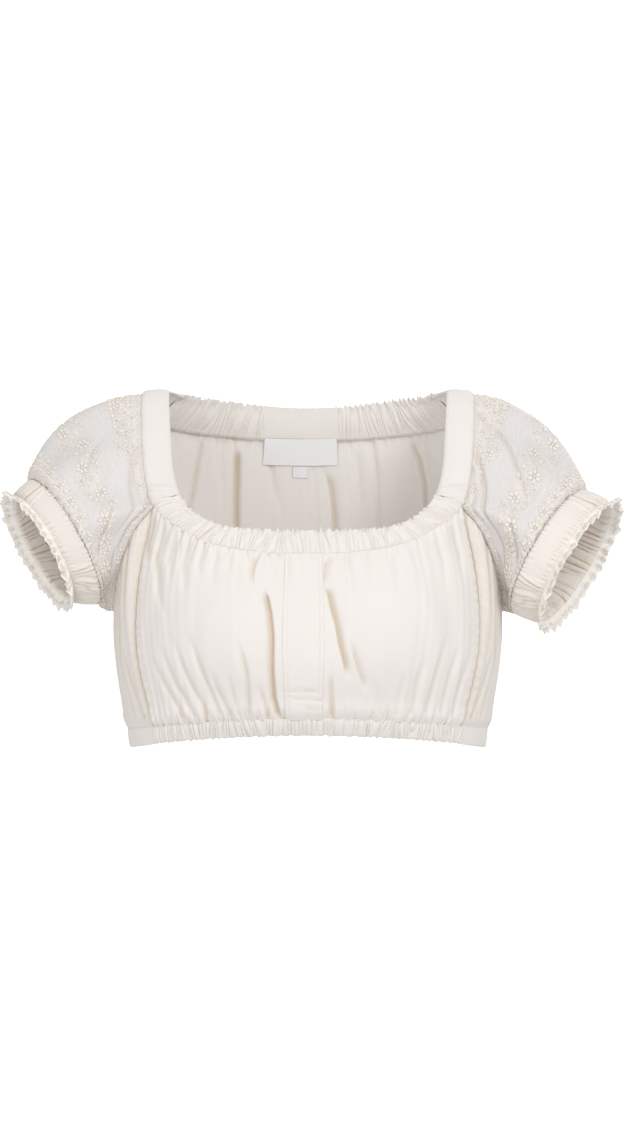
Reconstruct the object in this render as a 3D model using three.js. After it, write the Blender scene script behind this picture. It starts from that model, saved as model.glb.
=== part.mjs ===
// A short gathered blouse: cotton body, sheer puff sleeves, and elastic casings at the
// neckline, hem and cuffs, filled out as it is when worn.
// Millimetres, +Z up. The front faces -Y and +X is the wearer's left.
// The origin lies between the shoulders, level with the top of the neckline.
import * as THREE from "three";

const V = (x, y, z) => new THREE.Vector3(x, y, z);
const TURN = 2 * Math.PI;

// Thickness of each cloth, with its seam allowances.
const cotton = 1.5;
const casing = 2.2;
const sheer = 1.0;
const trim = 1;
const seamGap = 0.3;

// Casing depths, and gathers along each casing.
const hemDepth = 14;
const frillDepth = 7;
const gathers = { neckFront: 32, neckBack: 26, hemFront: 28, hemBack: 24, cuff: 16, frill: 12 };
const perGather = 4;
const perFrillWave = 5;
// How far a gather puffs one layer, with its shares at the edges and, times four, in the middle.
const pucker = 1.1;
const casingPuff = { edges: 0.4, middle: 2 };
const hemPuff = { edges: 0.55, middle: 0.9 };
const headerWave = 1.2;
// How far a plain shoulder band arches outwards between its edges.
const bandCrown = 4;

// Sections of the filled-out body, from the shoulders down to the hem:
// half its width, and how far it reaches forwards and backwards.
const figure = [
  { z: 10, half: 142, front: 55, back: 84 },
  { z: -20, half: 145, front: 70, back: 90 },
  { z: -60, half: 148, front: 82, back: 95 },
  { z: -95, half: 150, front: 92, back: 97 },
  { z: -135, half: 153, front: 105, back: 98 },
  { z: -178, half: 154.5, front: 118, back: 97 },
  { z: -208, half: 154.3, front: 121, back: 95 },
  { z: -228, half: 152.3, front: 118, back: 93 },
  { z: -250, half: 149, front: 109, back: 90 },
  { z: -264, half: 146, front: 101, back: 88.5 },
  { z: -275, half: 143, front: 95, back: 87 },
  { z: -292, half: 141.5, front: 92, back: 86 },
];
// The fullness that the gathers leave on each side of the front; it is whole where the cloth
// lies this far in front of the arms.
const fullness = { x: 64, z: -188, rise: 7, across: 46, high: 46, wholeFrom: 60 };
// The cloth faces outwards like the wall of an oval of these half axes. It also tips upwards
// above the chest, by a lift that fades out at these heights and depths.
const faces = { half: 150, deep: 100, lift: 0.0134, chest: 135, back: 110 };

// Half of the neckline, from the centre front over the shoulder to the centre back: a row for
// each section, with its free edge and the seam that panels and sleeve hang from.
const neckline = [
  { edge: [0, -98, -116], seam: [0, -105, -135] },
  { edge: [33, -96.5, -115.5], seam: [38, -103, -133.5] },
  { edge: [65, -89, -112.5], seam: [74, -93, -127] },
  { edge: [86, -75, -103], seam: [103, -74, -112.5] },
  { edge: [99, -57, -89], seam: [121, -55, -96.5] },
  { edge: [106, -40, -66], seam: [128.5, -40, -72] },
  { edge: [109, -20, -35], seam: [132, -20, -38] },
  { edge: [111, 3, -6.5], seam: [133.5, 5, -8.5] },
  { edge: [110, 29, -3], seam: [132.5, 31, -7] },
  { edge: [101, 52, -4], seam: [125, 51, -25] },
  { edge: [88, 66, -5.5], seam: [108, 69, -32] },
  { edge: [64, 79, -8], seam: [76, 84, -36] },
  { edge: [33, 85.5, -11.5], seam: [38, 91, -39] },
  { edge: [0, 87, -13], seam: [0, 93, -40] },
];
const frontCorner = 4;
const shoulderTop = 7;
const backCorner = 9;
const centreBack = 13;

// The armhole seam, from the front corner of the neckline under the arm to the back corner.
const armhole = [
  [121, -55, -96.5],
  [136.5, -50, -115],
  [147, -36, -138.5],
  [153.5, -14, -166],
  [155, 4, -178],
  [153, 24, -162],
  [147.5, 42, -125],
  [138.5, 52, -75],
  [125, 51, -25],
];

// Where the long seams between front, side and back panels meet the hem, as an angle from
// the side, and how far they bow towards the side on their way down.
const seamFoot = THREE.MathUtils.degToRad(34);
const seamBow = THREE.MathUtils.degToRad(6);
// The hem seam's height at the sides, and its rise at the centre front and back.
const hemSeam = { z: -272, frontRise: 12, backRise: 3 };

// Each arm opening, both given on the left and the right one mirrored: the way that the arm
// leaves it, its upward direction, the ring where the sleeve ends, the ring at the hand, and
// how far the sleeve swells above the cuff.
const arms = {
  left: {
    axis: V(0.819, -0.3, -0.487).normalize(),
    up: V(0.511, 0, 0.859),
    sleeve: { centre: V(191.4, -12, -131.3), radius: 54.5 },
    hand: { centre: V(212.3, -16.6, -140.5), radius: 53.5 },
    swell: 0.22,
  },
  right: {
    axis: V(0.829, -0.3, -0.471).normalize(),
    up: V(0.494, 0, 0.869),
    sleeve: { centre: V(193.8, -12, -123.6), radius: 54.5 },
    hand: { centre: V(210.5, -15.6, -129.3), radius: 46 },
    swell: 0.32,
  },
};
const frillFlare = 0.5;
const frillWave = 1.6;

// How the sleeve leaves its seam: its reach as a share of its length, its lean forwards and
// backwards, its drop, and the length from which it swells fully. Soft folds run down it.
const puff = { reach: 0.42, spread: 0.3, drop: 0.08, fullSpan: 80 };
// How the sleeve comes in to the cuff, as shares across the arm and back along it.
const turnIn = { across: 0.8, along: -0.6 };
const sleeveFolds = { count: 8, depth: 2.2 };

// Folds of the front and back: a row for each, from one end to the other as x and z,
// with its half width and depth. A negative depth stands out.
const frontFolds = [
  { from: [-31, -158], to: [-24, -256], width: 6, depth: 5 },
  { from: [11, -142], to: [30, -232], width: 6, depth: 5 },
  { from: [36, -212], to: [52, -258], width: 5.5, depth: 3.5 },
  { from: [-38, -136], to: [-42, -172], width: 5.5, depth: 3 },
  { from: [-92, -118], to: [-99, -176], width: 5.5, depth: 2.6 },
  { from: [-74, -134], to: [-80, -180], width: 5.5, depth: 2.4 },
  { from: [-57, -140], to: [-60, -184], width: 5.5, depth: 2.2 },
  { from: [-64, -250], to: [-90, -204], width: 5.5, depth: 2.6 },
  { from: [-46, -252], to: [-58, -206], width: 5.5, depth: 2.4 },
  { from: [92, -246], to: [112, -200], width: 5.5, depth: 2.6 },
  { from: [72, -252], to: [84, -212], width: 5.5, depth: 2.2 },
  { from: [66, -142], to: [62, -176], width: 5.5, depth: 1.8 },
];
const backFolds = [
  { from: [-56, -44], to: [-60, -264], width: 6, depth: -4.5 },
  { from: [20, -62], to: [26, -264], width: 6, depth: -4 },
  { from: [-86, -38], to: [-98, -150], width: 6, depth: -3.5 },
  { from: [90, -40], to: [100, -130], width: 6, depth: -3.5 },
  { from: [57, -42], to: [62, -264], width: 6, depth: -3 },
  { from: [-22, -60], to: [-24, -264], width: 6, depth: -2.6 },
];

// Every panel's rows, as shares of its height; the label ends at the second and its tab at the
// third. Columns are counted from the wearer's right; a shoulder band has some for each row
// of the neckline.
const panelRows = [0, 0.093, 0.136, 0.25, 0.37, 0.5, 0.62, 0.74, 0.87, 1];
const frontColumns = 52;
const sideColumns = 20;
const backColumns = 46;
const bandColumns = 3;
const hemSideColumns = 12;
const sleeveRows = 8;
const placketColumns = [23, 28];
const labelColumns = [17, 27];
const tabColumns = [21, 23];

// Rough sizes that turn the seam gap into a share: the widths of the panels, their height,
// a stretch of the neckline from one row to the next, and the hem's distance from the middle.
const rough = { front: 280, side: 140, back: 260, high: 130, stretch: 30, hem: 120 };
// The short step, as a share, over which a sleeve's directions are taken.
const nudge = 0.004;

// Colours of the cream cotton, the sheer cloth, the lace and the woven label.
const cloth = (name, color, roughness) =>
  new THREE.MeshStandardMaterial({ name, color, roughness, metalness: 0 });
const cottonCloth = cloth("cotton", 0xf1ebe0, 0.85);
const sheerCloth = cloth("sheer", 0xece8e2, 0.75);
const laceCloth = cloth("lace", 0xf0eae0, 0.8);
const labelCloth = cloth("label", 0xf3f2f6, 0.6);

const lerp = THREE.MathUtils.lerp;
const clamp = THREE.MathUtils.clamp;
const ease = (t) => THREE.MathUtils.smoothstep(t, 0, 1);
const mix = (a, b, t) => a.clone().lerp(b, t);
const bell = (distance, width) => Math.exp(-((distance / width) ** 2));
// Even steps from one value to another, both ends included.
const steps = (from, to, count) =>
  Array.from({ length: count + 1 }, (_, i) => lerp(from, to, i / count));

// The body's section at a height, on a smooth curve through the rows of the figure.
function sectionAt(z) {
  const last = figure.length - 2;
  const i = clamp(figure.findIndex((row) => row.z < z) - 1, 0, last);
  const [a, b] = [figure[i], figure[i + 1]];
  const before = figure[Math.max(i - 1, 0)];
  const after = figure[Math.min(i + 2, last + 1)];
  const span = b.z - a.z;
  const t = clamp((z - a.z) / span, 0, 1);
  const read = (key) => {
    const slopeA = ((b[key] - before[key]) / (b.z - before.z)) * span;
    const slopeB = ((after[key] - a[key]) / (after.z - a.z)) * span;
    return (
      (2 * t ** 3 - 3 * t ** 2 + 1) * a[key] +
      (t ** 3 - 2 * t ** 2 + t) * slopeA +
      (3 * t ** 2 - 2 * t ** 3) * b[key] +
      (t ** 3 - t ** 2) * slopeB
    );
  };
  return { half: read("half"), front: read("front"), back: read("back") };
}

// A point of the body at an angle from the wearer's left side, negative towards the front.
function figurePoint(angle, z, scale = 1) {
  const { half, front, back } = sectionAt(z);
  const depth = angle < 0 ? front : back;
  return V(half * Math.cos(angle) * scale, depth * Math.sin(angle) * scale, z);
}

// The angle of a point about the body, and how far out it lies compared with the figure.
function aroundFigure(point) {
  const { half, front, back } = sectionAt(point.z);
  const depth = point.y < 0 ? front : back;
  const [x, y] = [point.x / half, point.y / depth];
  return { angle: Math.atan2(y, x), scale: Math.hypot(x, y) };
}

// The way the cloth faces at a point of the body: outwards, and upwards over the shoulders.
function facing(point) {
  const chest = clamp((point.z + faces.chest) / faces.chest, 0, 1);
  const overBack = point.y > 0 ? Math.max(0, 1 - (point.y / faces.back) ** 2) : 1;
  const lift = faces.lift * chest * overBack;
  return V(point.x / faces.half ** 2, point.y / faces.deep ** 2, lift).normalize();
}

// A smooth curve through a list of points, open or closed, followed by row number.
function curveThrough(points, closed) {
  const curve = new THREE.CatmullRomCurve3(points, closed, "catmullrom", 0.5);
  const count = closed ? points.length : points.length - 1;
  return (row) => curve.getPoint(closed ? (row / count + 1) % 1 : clamp(row / count, 0, 1));
}

// The whole neckline as a closed curve: rows count on over the wearer's left shoulder to the
// centre back and then over the right one, back to the centre front.
function wholeNeckline(key) {
  const left = neckline.map((row) => V(...row[key]));
  const right = left.slice(1, centreBack).reverse();
  return curveThrough([...left, ...right.map((p) => V(-p.x, p.y, p.z))], true);
}
const neckEdge = wholeNeckline("edge");
const neckSeam = wholeNeckline("seam");
const armholeSeam = curveThrough(armhole.map((p) => V(...p)), false);

// Turns a curve of several stretches into one that is followed at an even pace from 0 to 1.
const finer = 24;
function evenly(pointAt, stretches) {
  const rows = steps(0, stretches, finer * stretches);
  const lengths = [0];
  for (let i = 1; i < rows.length; i++)
    lengths.push(lengths[i - 1] + pointAt(rows[i]).distanceTo(pointAt(rows[i - 1])));
  const follow = (share) => {
    const target = clamp(share, 0, 1) * lengths.at(-1);
    const i = clamp(lengths.findIndex((length) => length >= target), 1, rows.length - 1);
    const t = (target - lengths[i - 1]) / (lengths[i] - lengths[i - 1]);
    return pointAt(lerp(rows[i - 1], rows[i], t));
  };
  follow.shareOf = (row) => lengths[Math.round(finer * row)] / lengths.at(-1);
  return follow;
}

// How far folds press a point of a panel inwards.
function foldDepth(folds, x, z) {
  let depth = 0;
  for (const fold of folds) {
    const [ax, az] = fold.from;
    const [dx, dz] = [fold.to[0] - ax, fold.to[1] - az];
    const t = clamp(((x - ax) * dx + (z - az) * dz) / (dx * dx + dz * dz), 0, 1);
    const distance = Math.hypot(x - ax - t * dx, z - az - t * dz);
    depth += fold.depth * bell(distance, fold.width);
  }
  return depth;
}

// The middle of the cloth on a column that hangs from a seam point to the hem.
function hang(top, foot, bow, v) {
  const start = aroundFigure(top);
  const angle = lerp(start.angle, foot, v) + bow * Math.sin(Math.PI * v);
  const point = figurePoint(angle, lerp(top.z, hemHeight(foot), v), lerp(start.scale, 1, ease(v)));
  const forwards = clamp(-point.y / fullness.wholeFrom, 0, 1);
  const cup =
    bell(Math.abs(point.x) - fullness.x, fullness.across) * bell(point.z - fullness.z, fullness.high);
  return point.addScaledVector(facing(point), fullness.rise * forwards * cup);
}

// The hem seam rises towards the centre front, and a little towards the centre back.
function hemHeight(angle) {
  const rise = angle < 0 ? hemSeam.frontRise : hemSeam.backRise;
  return hemSeam.z + rise * Math.sin(angle) ** 2;
}

// The front, side and back panels: u runs across and v down from the top seam to the hem.
const frontTop = evenly((row) => neckSeam(row - frontCorner), 2 * frontCorner);
const halfBack = centreBack - backCorner;
const backTop = evenly((row) => neckSeam(centreBack + halfBack - row), 2 * halfBack);
const armholeTop = evenly(armholeSeam, armhole.length - 1);

function frontPoint(u, v) {
  return hang(frontTop(u), lerp(seamFoot - Math.PI, -seamFoot, u), seamBow * (2 * u - 1), v);
}

function backPoint(u, v) {
  const foot = lerp(Math.PI - seamFoot, seamFoot, u);
  return hang(backTop(u), foot, seamBow * (1 - 2 * u), v);
}

function sidePoint(u, v) {
  return hang(armholeTop(u), lerp(-seamFoot, seamFoot, u), seamBow * (1 - 2 * u), v);
}

// A closed wall between an outer and an inner face, both given at shares u and v.
// A tube joins its last column to its first.
function wall(us, vs, outer, inner, tube = false) {
  const [columns, rows] = [us.length, vs.length];
  const positions = [];
  for (const face of [outer, inner])
    for (const u of us) for (const v of vs) positions.push(...face(u, v).toArray());
  const at = (side, i, j) => (side * columns + (i % columns)) * rows + j;
  const quads = [];
  for (let i = 0; i < (tube ? columns : columns - 1); i++) {
    for (let j = 0; j < rows - 1; j++) {
      quads.push([at(0, i, j), at(0, i + 1, j), at(0, i + 1, j + 1), at(0, i, j + 1)]);
      quads.push([at(1, i, j), at(1, i, j + 1), at(1, i + 1, j + 1), at(1, i + 1, j)]);
    }
    const end = rows - 1;
    quads.push([at(0, i, 0), at(1, i, 0), at(1, i + 1, 0), at(0, i + 1, 0)]);
    quads.push([at(0, i, end), at(0, i + 1, end), at(1, i + 1, end), at(1, i, end)]);
  }
  for (let j = 0; j < (tube ? 0 : rows - 1); j++) {
    const end = columns - 1;
    quads.push([at(0, 0, j), at(0, 0, j + 1), at(1, 0, j + 1), at(1, 0, j)]);
    quads.push([at(0, end, j), at(1, end, j), at(1, end, j + 1), at(0, end, j + 1)]);
  }
  return facingOut(positions, quads);
}

// Triangles from quads, turned round if the solid would be inside out.
function facingOut(positions, quads) {
  const corner = (i) => V(...positions.slice(3 * i, 3 * i + 3));
  const triangles = quads.flatMap(([a, b, c, d]) => [[a, b, c], [a, c, d]]);
  let volume = 0;
  for (const [a, b, c] of triangles) volume += corner(a).dot(corner(b).cross(corner(c)));
  const index = triangles.flatMap(([a, b, c]) => (volume > 0 ? [a, b, c] : [a, c, b]));
  const geometry = new THREE.BufferGeometry();
  geometry.setAttribute("position", new THREE.Float32BufferAttribute(positions, 3));
  geometry.setIndex(index);
  geometry.computeVertexNormals();
  return geometry;
}

const blouse = new THREE.Group();

function sew(name, geometry, material) {
  const mesh = new THREE.Mesh(geometry, material);
  mesh.name = name;
  blouse.add(mesh);
}

// A piece on each side, named after the wearer's left and right; the right one is mirrored.
function sewPair(name, build, material) {
  sew(`${name}_left`, build((p) => p, arms.left), material);
  sew(`${name}_right`, build((p) => V(-p.x, p.y, p.z), arms.right), material);
}

// A panel's two faces, from the middle of its cloth and its folds.
function panelFaces(pointAt, folds) {
  const face = (out) => (u, v) => {
    const point = pointAt(u, v);
    const depth = out - foldDepth(folds, point.x, point.z);
    return point.clone().addScaledVector(facing(point), depth);
  };
  return face;
}

const frontFace = panelFaces(frontPoint, frontFolds);
const backFace = panelFaces(backPoint, backFolds);
const sideFace = panelFaces(sidePoint, []);

// Columns that leave half a seam gap at each side of a panel, and rows that leave a whole one
// below its top seam.
function columnsOf(count, width) {
  const inset = seamGap / 2 / width;
  return steps(inset, 1 - inset, count);
}
const topGap = seamGap / rough.high;
const rows = [topGap, ...panelRows.slice(1)];
const frontShares = columnsOf(frontColumns, rough.front);
const sideShares = columnsOf(sideColumns, rough.side);
const backShares = columnsOf(backColumns, rough.back);

function panel(face, columns, place = (p) => p) {
  const put = (out) => (u, v) => place(face(out)(u, v));
  return wall(columns, rows, put(cotton / 2), put(-cotton / 2));
}

sew("front_panel", panel(frontFace, frontShares), cottonCloth);
sew("back_panel", panel(backFace, backShares), cottonCloth);
sewPair("side_panel", (place) => panel(sideFace, sideShares, place), cottonCloth);

// The strip down the centre front lies on the front panel.
const onPanel = cotton / 2 + seamGap;
const between = (shares, [first, last]) => shares.slice(first, last + 1);
sew(
  "front_placket",
  wall(
    between(frontShares, placketColumns),
    rows,
    frontFace(onPanel + trim),
    frontFace(onPanel),
  ),
  cottonCloth,
);

// The label and its size tab hang inside the back, below the casing.
for (const [name, columns, heights] of [
  ["neck_label", labelColumns, rows.slice(0, 2)],
  ["size_tab", tabColumns, [panelRows[1] + topGap, panelRows[2]]],
]) {
  const shares = between(backShares, columns);
  sew(name, wall(shares, heights, backFace(-onPanel), backFace(-onPanel - trim)), labelCloth);
}

// How far a gather puffs a layer at a phase of its wave, at share v of the casing's depth.
const puffed = (phase, v, { edges, middle }) =>
  pucker * (0.5 + 0.5 * Math.cos(phase)) * (edges + middle * v * (1 - v));

// A stretch of the neckline casing between two rows. Gathers puff both of its layers; the
// header above the elastic ruffles, and a plain stretch has none.
function neckCasing(fromRow, toRow, waves, place = (p) => p) {
  const inset = seamGap / 2 / rough.stretch;
  const columns = waves ? perGather * waves : bandColumns * (toRow - fromRow);
  const us = steps(fromRow + inset, toRow - inset, columns);
  const face = (side) => (row, v) => {
    const phase = (TURN * waves * (row - fromRow)) / (toRow - fromRow);
    const wave = waves ? puffed(phase, v, casingPuff) : 0;
    const ruffle = waves ? headerWave * v ** 2 * Math.sin(phase) : 0;
    const crown = waves ? 0 : bandCrown * 4 * v * (1 - v);
    const [seam, edge] = [neckSeam(row), neckEdge(row)];
    const point = mix(seam, edge, v).addScaledVector(edge.sub(seam).normalize(), ruffle);
    return place(point.addScaledVector(facing(point), side * (casing / 2 + wave) + ruffle + crown));
  };
  return wall(us, [0, 0.5, 1], face(1), face(-1));
}

const rowsAround = 2 * centreBack;
sew("neck_casing_front", neckCasing(-frontCorner, frontCorner, gathers.neckFront), cottonCloth);
sew(
  "neck_casing_back",
  neckCasing(backCorner, rowsAround - backCorner, gathers.neckBack),
  cottonCloth,
);
sewPair("shoulder_band", (place) => neckCasing(frontCorner, backCorner, 0, place), cottonCloth);

// A stretch of the hem casing between two angles.
function hemCasing(fromAngle, toAngle, waves, place = (p) => p) {
  const inset = seamGap / 2 / rough.hem;
  const columns = waves ? perGather * waves : hemSideColumns;
  const us = steps(fromAngle + inset, toAngle - inset, columns);
  const face = (side) => (angle, v) => {
    const phase = (TURN * waves * (angle - fromAngle)) / (toAngle - fromAngle);
    const point = figurePoint(angle, hemHeight(angle) - lerp(seamGap, hemDepth, v));
    const wave = waves ? puffed(phase, v, hemPuff) : 0;
    return place(point.addScaledVector(facing(point), side * (casing / 2 + wave)));
  };
  return wall(us, [0, 0.5, 1], face(1), face(-1));
}

sew("hem_casing_front", hemCasing(seamFoot - Math.PI, -seamFoot, gathers.hemFront), cottonCloth);
sew("hem_casing_back", hemCasing(seamFoot, Math.PI - seamFoot, gathers.hemBack), cottonCloth);
sewPair("hem_side", (place) => hemCasing(-seamFoot, seamFoot, 0, place), cottonCloth);

// The seam that the left sleeve hangs from: down the shoulder band to the front corner, round
// the armhole, and up the band from the back corner.
const bandFront = shoulderTop - frontCorner;
const bandBack = backCorner - shoulderTop;
const armholeRows = armhole.length - 1;
const sleeveTop = evenly((row) => {
  if (row < bandFront) return neckSeam(shoulderTop - row);
  if (row <= bandFront + armholeRows) return armholeSeam(row - bandFront);
  return neckSeam(backCorner - (row - bandFront - armholeRows));
}, bandFront + armholeRows + bandBack);

// A direction across the arm; share 0 is upwards, and it turns forwards first.
function radial(arm, share) {
  const forward = new THREE.Vector3().crossVectors(arm.axis, arm.up);
  return V(0, 0, 0)
    .addScaledVector(arm.up, Math.cos(TURN * share))
    .addScaledVector(forward, Math.sin(TURN * share));
}
const onRing = (arm, ring, share) =>
  ring.centre.clone().addScaledVector(radial(arm, share), ring.radius);

// The middle of the sleeve's cloth: it leaves the seam sideways, swells, and turns in to the cuff.
function sleevePoint(arm, s, t) {
  const share = (s + 1) % 1;
  const seam = sleeveTop(share);
  const along = sleeveTop((share + nudge) % 1).sub(sleeveTop((share + 1 - nudge) % 1));
  const out = facing(seam);
  const away = new THREE.Vector3().crossVectors(out, along).normalize();
  const start = seam.clone().addScaledVector(away, seamGap + sheer / 2);
  const end = onRing(arm, arm.sleeve, share);
  const span = start.distanceTo(end);
  const leave = V(1, puff.spread * out.y, -puff.drop).normalize();
  const arrive = radial(arm, share)
    .multiplyScalar(turnIn.across)
    .addScaledVector(arm.axis, turnIn.along)
    .normalize();
  const swell = arm.swell * span * ease(span / puff.fullSpan);
  const [a, b, c] = [(1 - t) ** 3, 3 * (1 - t) ** 2 * t, 3 * (1 - t) * t ** 2];
  return V(0, 0, 0)
    .addScaledVector(start, a + b)
    .addScaledVector(leave, b * puff.reach * span)
    .addScaledVector(end, c + t ** 3)
    .addScaledVector(arrive, c * swell);
}

function sleeveFace(arm, out) {
  return (s, t) => {
    const across = sleevePoint(arm, s + nudge, t).sub(sleevePoint(arm, s - nudge, t));
    const [near, far] = [Math.max(t - nudge, 0), Math.min(t + nudge, 1)];
    const down = sleevePoint(arm, s, far).sub(sleevePoint(arm, s, near));
    const normal = across.cross(down).normalize();
    const fold = sleeveFolds.depth * Math.sin(Math.PI * t) * Math.cos(TURN * sleeveFolds.count * s);
    return sleevePoint(arm, s, t).addScaledVector(normal, out + fold);
  };
}

// A full ring of columns, whose last one is the first again.
const openSteps = (count) => steps(0, 1, count).slice(0, -1);
// The sleeve's columns meet those of the shoulder band and of the side panel.
const armholeEnd = bandFront + armholeRows;
const sleeveShares = [
  ...steps(0, bandFront, bandColumns * bandFront).map(sleeveTop.shareOf).slice(0, -1),
  ...steps(sleeveTop.shareOf(bandFront), sleeveTop.shareOf(armholeEnd), sideColumns),
  ...steps(armholeEnd, armholeEnd + bandBack, bandColumns * bandBack)
    .map(sleeveTop.shareOf)
    .slice(1, -1),
];

sewPair(
  "sleeve",
  (place, arm) => {
    const face = (out) => (s, t) => place(sleeveFace(arm, out)(s, t));
    return wall(sleeveShares, steps(0, 1, sleeveRows), face(sheer / 2), face(-sheer / 2), true);
  },
  sheerCloth,
);

// The cuff narrows from the sleeve's ring to the hand's, and its gathers puff both layers.
const cuffStart = seamGap + sheer;
sewPair(
  "cuff",
  (place, arm) => {
    const face = (side) => (s, v) => {
      const wave = puffed(TURN * gathers.cuff * s, v, casingPuff);
      const point = mix(onRing(arm, arm.sleeve, s), onRing(arm, arm.hand, s), v);
      point.addScaledVector(arm.axis, cuffStart * (1 - v));
      return place(point.addScaledVector(radial(arm, s), side * (casing / 2 + wave)));
    };
    return wall(openSteps(perGather * gathers.cuff), [0, 0.5, 1], face(1), face(-1), true);
  },
  cottonCloth,
);

// The lace frill carries on beyond the cuff.
sewPair(
  "cuff_frill",
  (place, arm) => {
    const face = (side) => (s, v) => {
      const out = frillFlare * v + frillWave * v * Math.sin(TURN * gathers.frill * s);
      const point = onRing(arm, arm.hand, s).addScaledVector(arm.axis, seamGap + frillDepth * v);
      return place(point.addScaledVector(radial(arm, s), out + (side * trim) / 2));
    };
    return wall(openSteps(perFrillWave * gathers.frill), [0, 1], face(1), face(-1), true);
  },
  laceCloth,
);

export default blouse;
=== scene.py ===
"""A short gathered blouse, filled out as when worn.

Its body is cream cotton, its puff sleeves are sheer and embroidered, and elastic casings gather
the neckline, the hem and the cuffs. Patterns are worked out in millimetres and turned to metres
as each mesh is made. The front faces -Y, +X is the wearer's left and +Z is up.
"""
import logging
import math
from collections.abc import Callable
from dataclasses import dataclass, field
from enum import Enum
from functools import cached_property

import bmesh
import bpy
import numpy as np
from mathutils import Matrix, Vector


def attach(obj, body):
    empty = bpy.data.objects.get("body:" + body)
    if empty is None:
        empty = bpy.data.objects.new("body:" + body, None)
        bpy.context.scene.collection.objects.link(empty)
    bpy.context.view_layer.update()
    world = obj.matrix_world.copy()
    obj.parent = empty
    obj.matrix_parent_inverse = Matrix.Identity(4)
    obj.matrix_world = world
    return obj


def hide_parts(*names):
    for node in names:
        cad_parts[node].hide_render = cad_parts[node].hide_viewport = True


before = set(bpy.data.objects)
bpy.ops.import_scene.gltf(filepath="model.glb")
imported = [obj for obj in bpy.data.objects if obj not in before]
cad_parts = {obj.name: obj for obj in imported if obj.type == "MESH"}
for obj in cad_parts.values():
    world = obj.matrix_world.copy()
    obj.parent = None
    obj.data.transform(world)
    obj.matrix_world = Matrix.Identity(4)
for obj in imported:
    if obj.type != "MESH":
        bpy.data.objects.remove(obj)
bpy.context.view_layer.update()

log = logging.getLogger("blouse")

Array = np.ndarray
# A finished piece, a mesh while it is being shaped, and an output of a material's node.
Piece = bpy.types.Object
Shape = bmesh.types.BMesh
Socket = bpy.types.NodeSocket
# Two numbers, such as a start and an end, and three, such as a place or a colour.
Pair = tuple[float, float]
Point = tuple[float, float, float]
# A surface takes shares across and down a piece, and how far out from it a point lies.
Surface = Callable[[Array, Array, float], Array]
# A shading takes the same shares, and gives a value from 0 to 1 for each point.
Shading = Callable[[Array, Array], Array]

TURN = 2 * math.pi
MM = 0.001
# Points nearer than this, in metres, are one where the ends of a tube meet.
SAME_POINT = 1e-5


class Held(Enum):
    """How a cut piece of cloth is held in the finished blouse."""

    GATHERED = "gathered"
    STRETCHED = "stretched"
    HUNG = "hung"
    FOLDED = "folded"


class Side(Enum):
    """The wearer's left or right, with the sign that mirrors x."""

    LEFT = 1
    RIGHT = -1

    @property
    def word(self) -> str:
        """The side as node names spell it."""
        return self.name.lower()


def lerp(a: Array | float, b: Array | float, t: Array | float) -> Array | float:
    """Goes from a to b by the share t."""
    return a + (b - a) * t


def ease(t: Array | float) -> Array | float:
    """Eases a share in and out, held between 0 and 1."""
    t = np.clip(t, 0, 1)
    return t * t * (3 - 2 * t)


def bell(distance: Array | float, width: float) -> Array | float:
    """A rounded rise that is 1 in the middle and fades over the width."""
    return np.exp(-((distance / width) ** 2))


def rounded_end(depth: Array, start: float) -> Array:
    """How far apart two layers still are where they close in a round: 1 at its start, then less."""
    past = np.maximum(depth - start, 0) / (1 - start)
    return np.sqrt(np.clip(1 - past**2, 0, 1))


def swollen(depth: Array) -> Array:
    """How a casing swells across its depth, from 0 at its edges to 1 in the middle."""
    return np.sin(math.pi * np.clip(depth, 0, 1)) ** 0.6


def column(values: Array) -> Array:
    """Turns one value a point into a column that scales its x, y and z."""
    return np.asarray(values, float)[:, None]


def unit(rows: Array) -> Array:
    """Gives each row of x, y and z a length of 1."""
    return rows / np.maximum(np.linalg.norm(rows, axis=1, keepdims=True), 1e-9)


def mirrored(points: Array, side: Side) -> Array:
    """Puts points that were worked out on the wearer's left on the given side."""
    return points * np.array([side.value, 1, 1])


@dataclass(frozen=True)
class Uneven:
    """Smooth unevenness along a seam, the same each time it is made.

    Attributes:
        seed: Which unevenness this is.
        waves: How many of its waves fit along the seam, from the longest to the shortest.
    """

    seed: int
    waves: tuple[int, int] = (3, 17)

    def at(self, share: Array) -> Array:
        """Reads the unevenness.

        Args:
            share: Places along the seam, from 0 to 1, which meet without a step.

        Returns:
            A value for each place, mostly between -1 and 1.
        """
        chance = np.random.default_rng(self.seed)
        total = np.zeros_like(share, dtype=float)
        counts = np.arange(self.waves[0], self.waves[1] + 1)
        for count in counts:
            size, phase = chance.uniform(0.4, 1.0), chance.uniform(0, TURN)
            total += size * np.sin(TURN * count * share + phase)
        return total / math.sqrt(len(counts) / 2)


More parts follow.
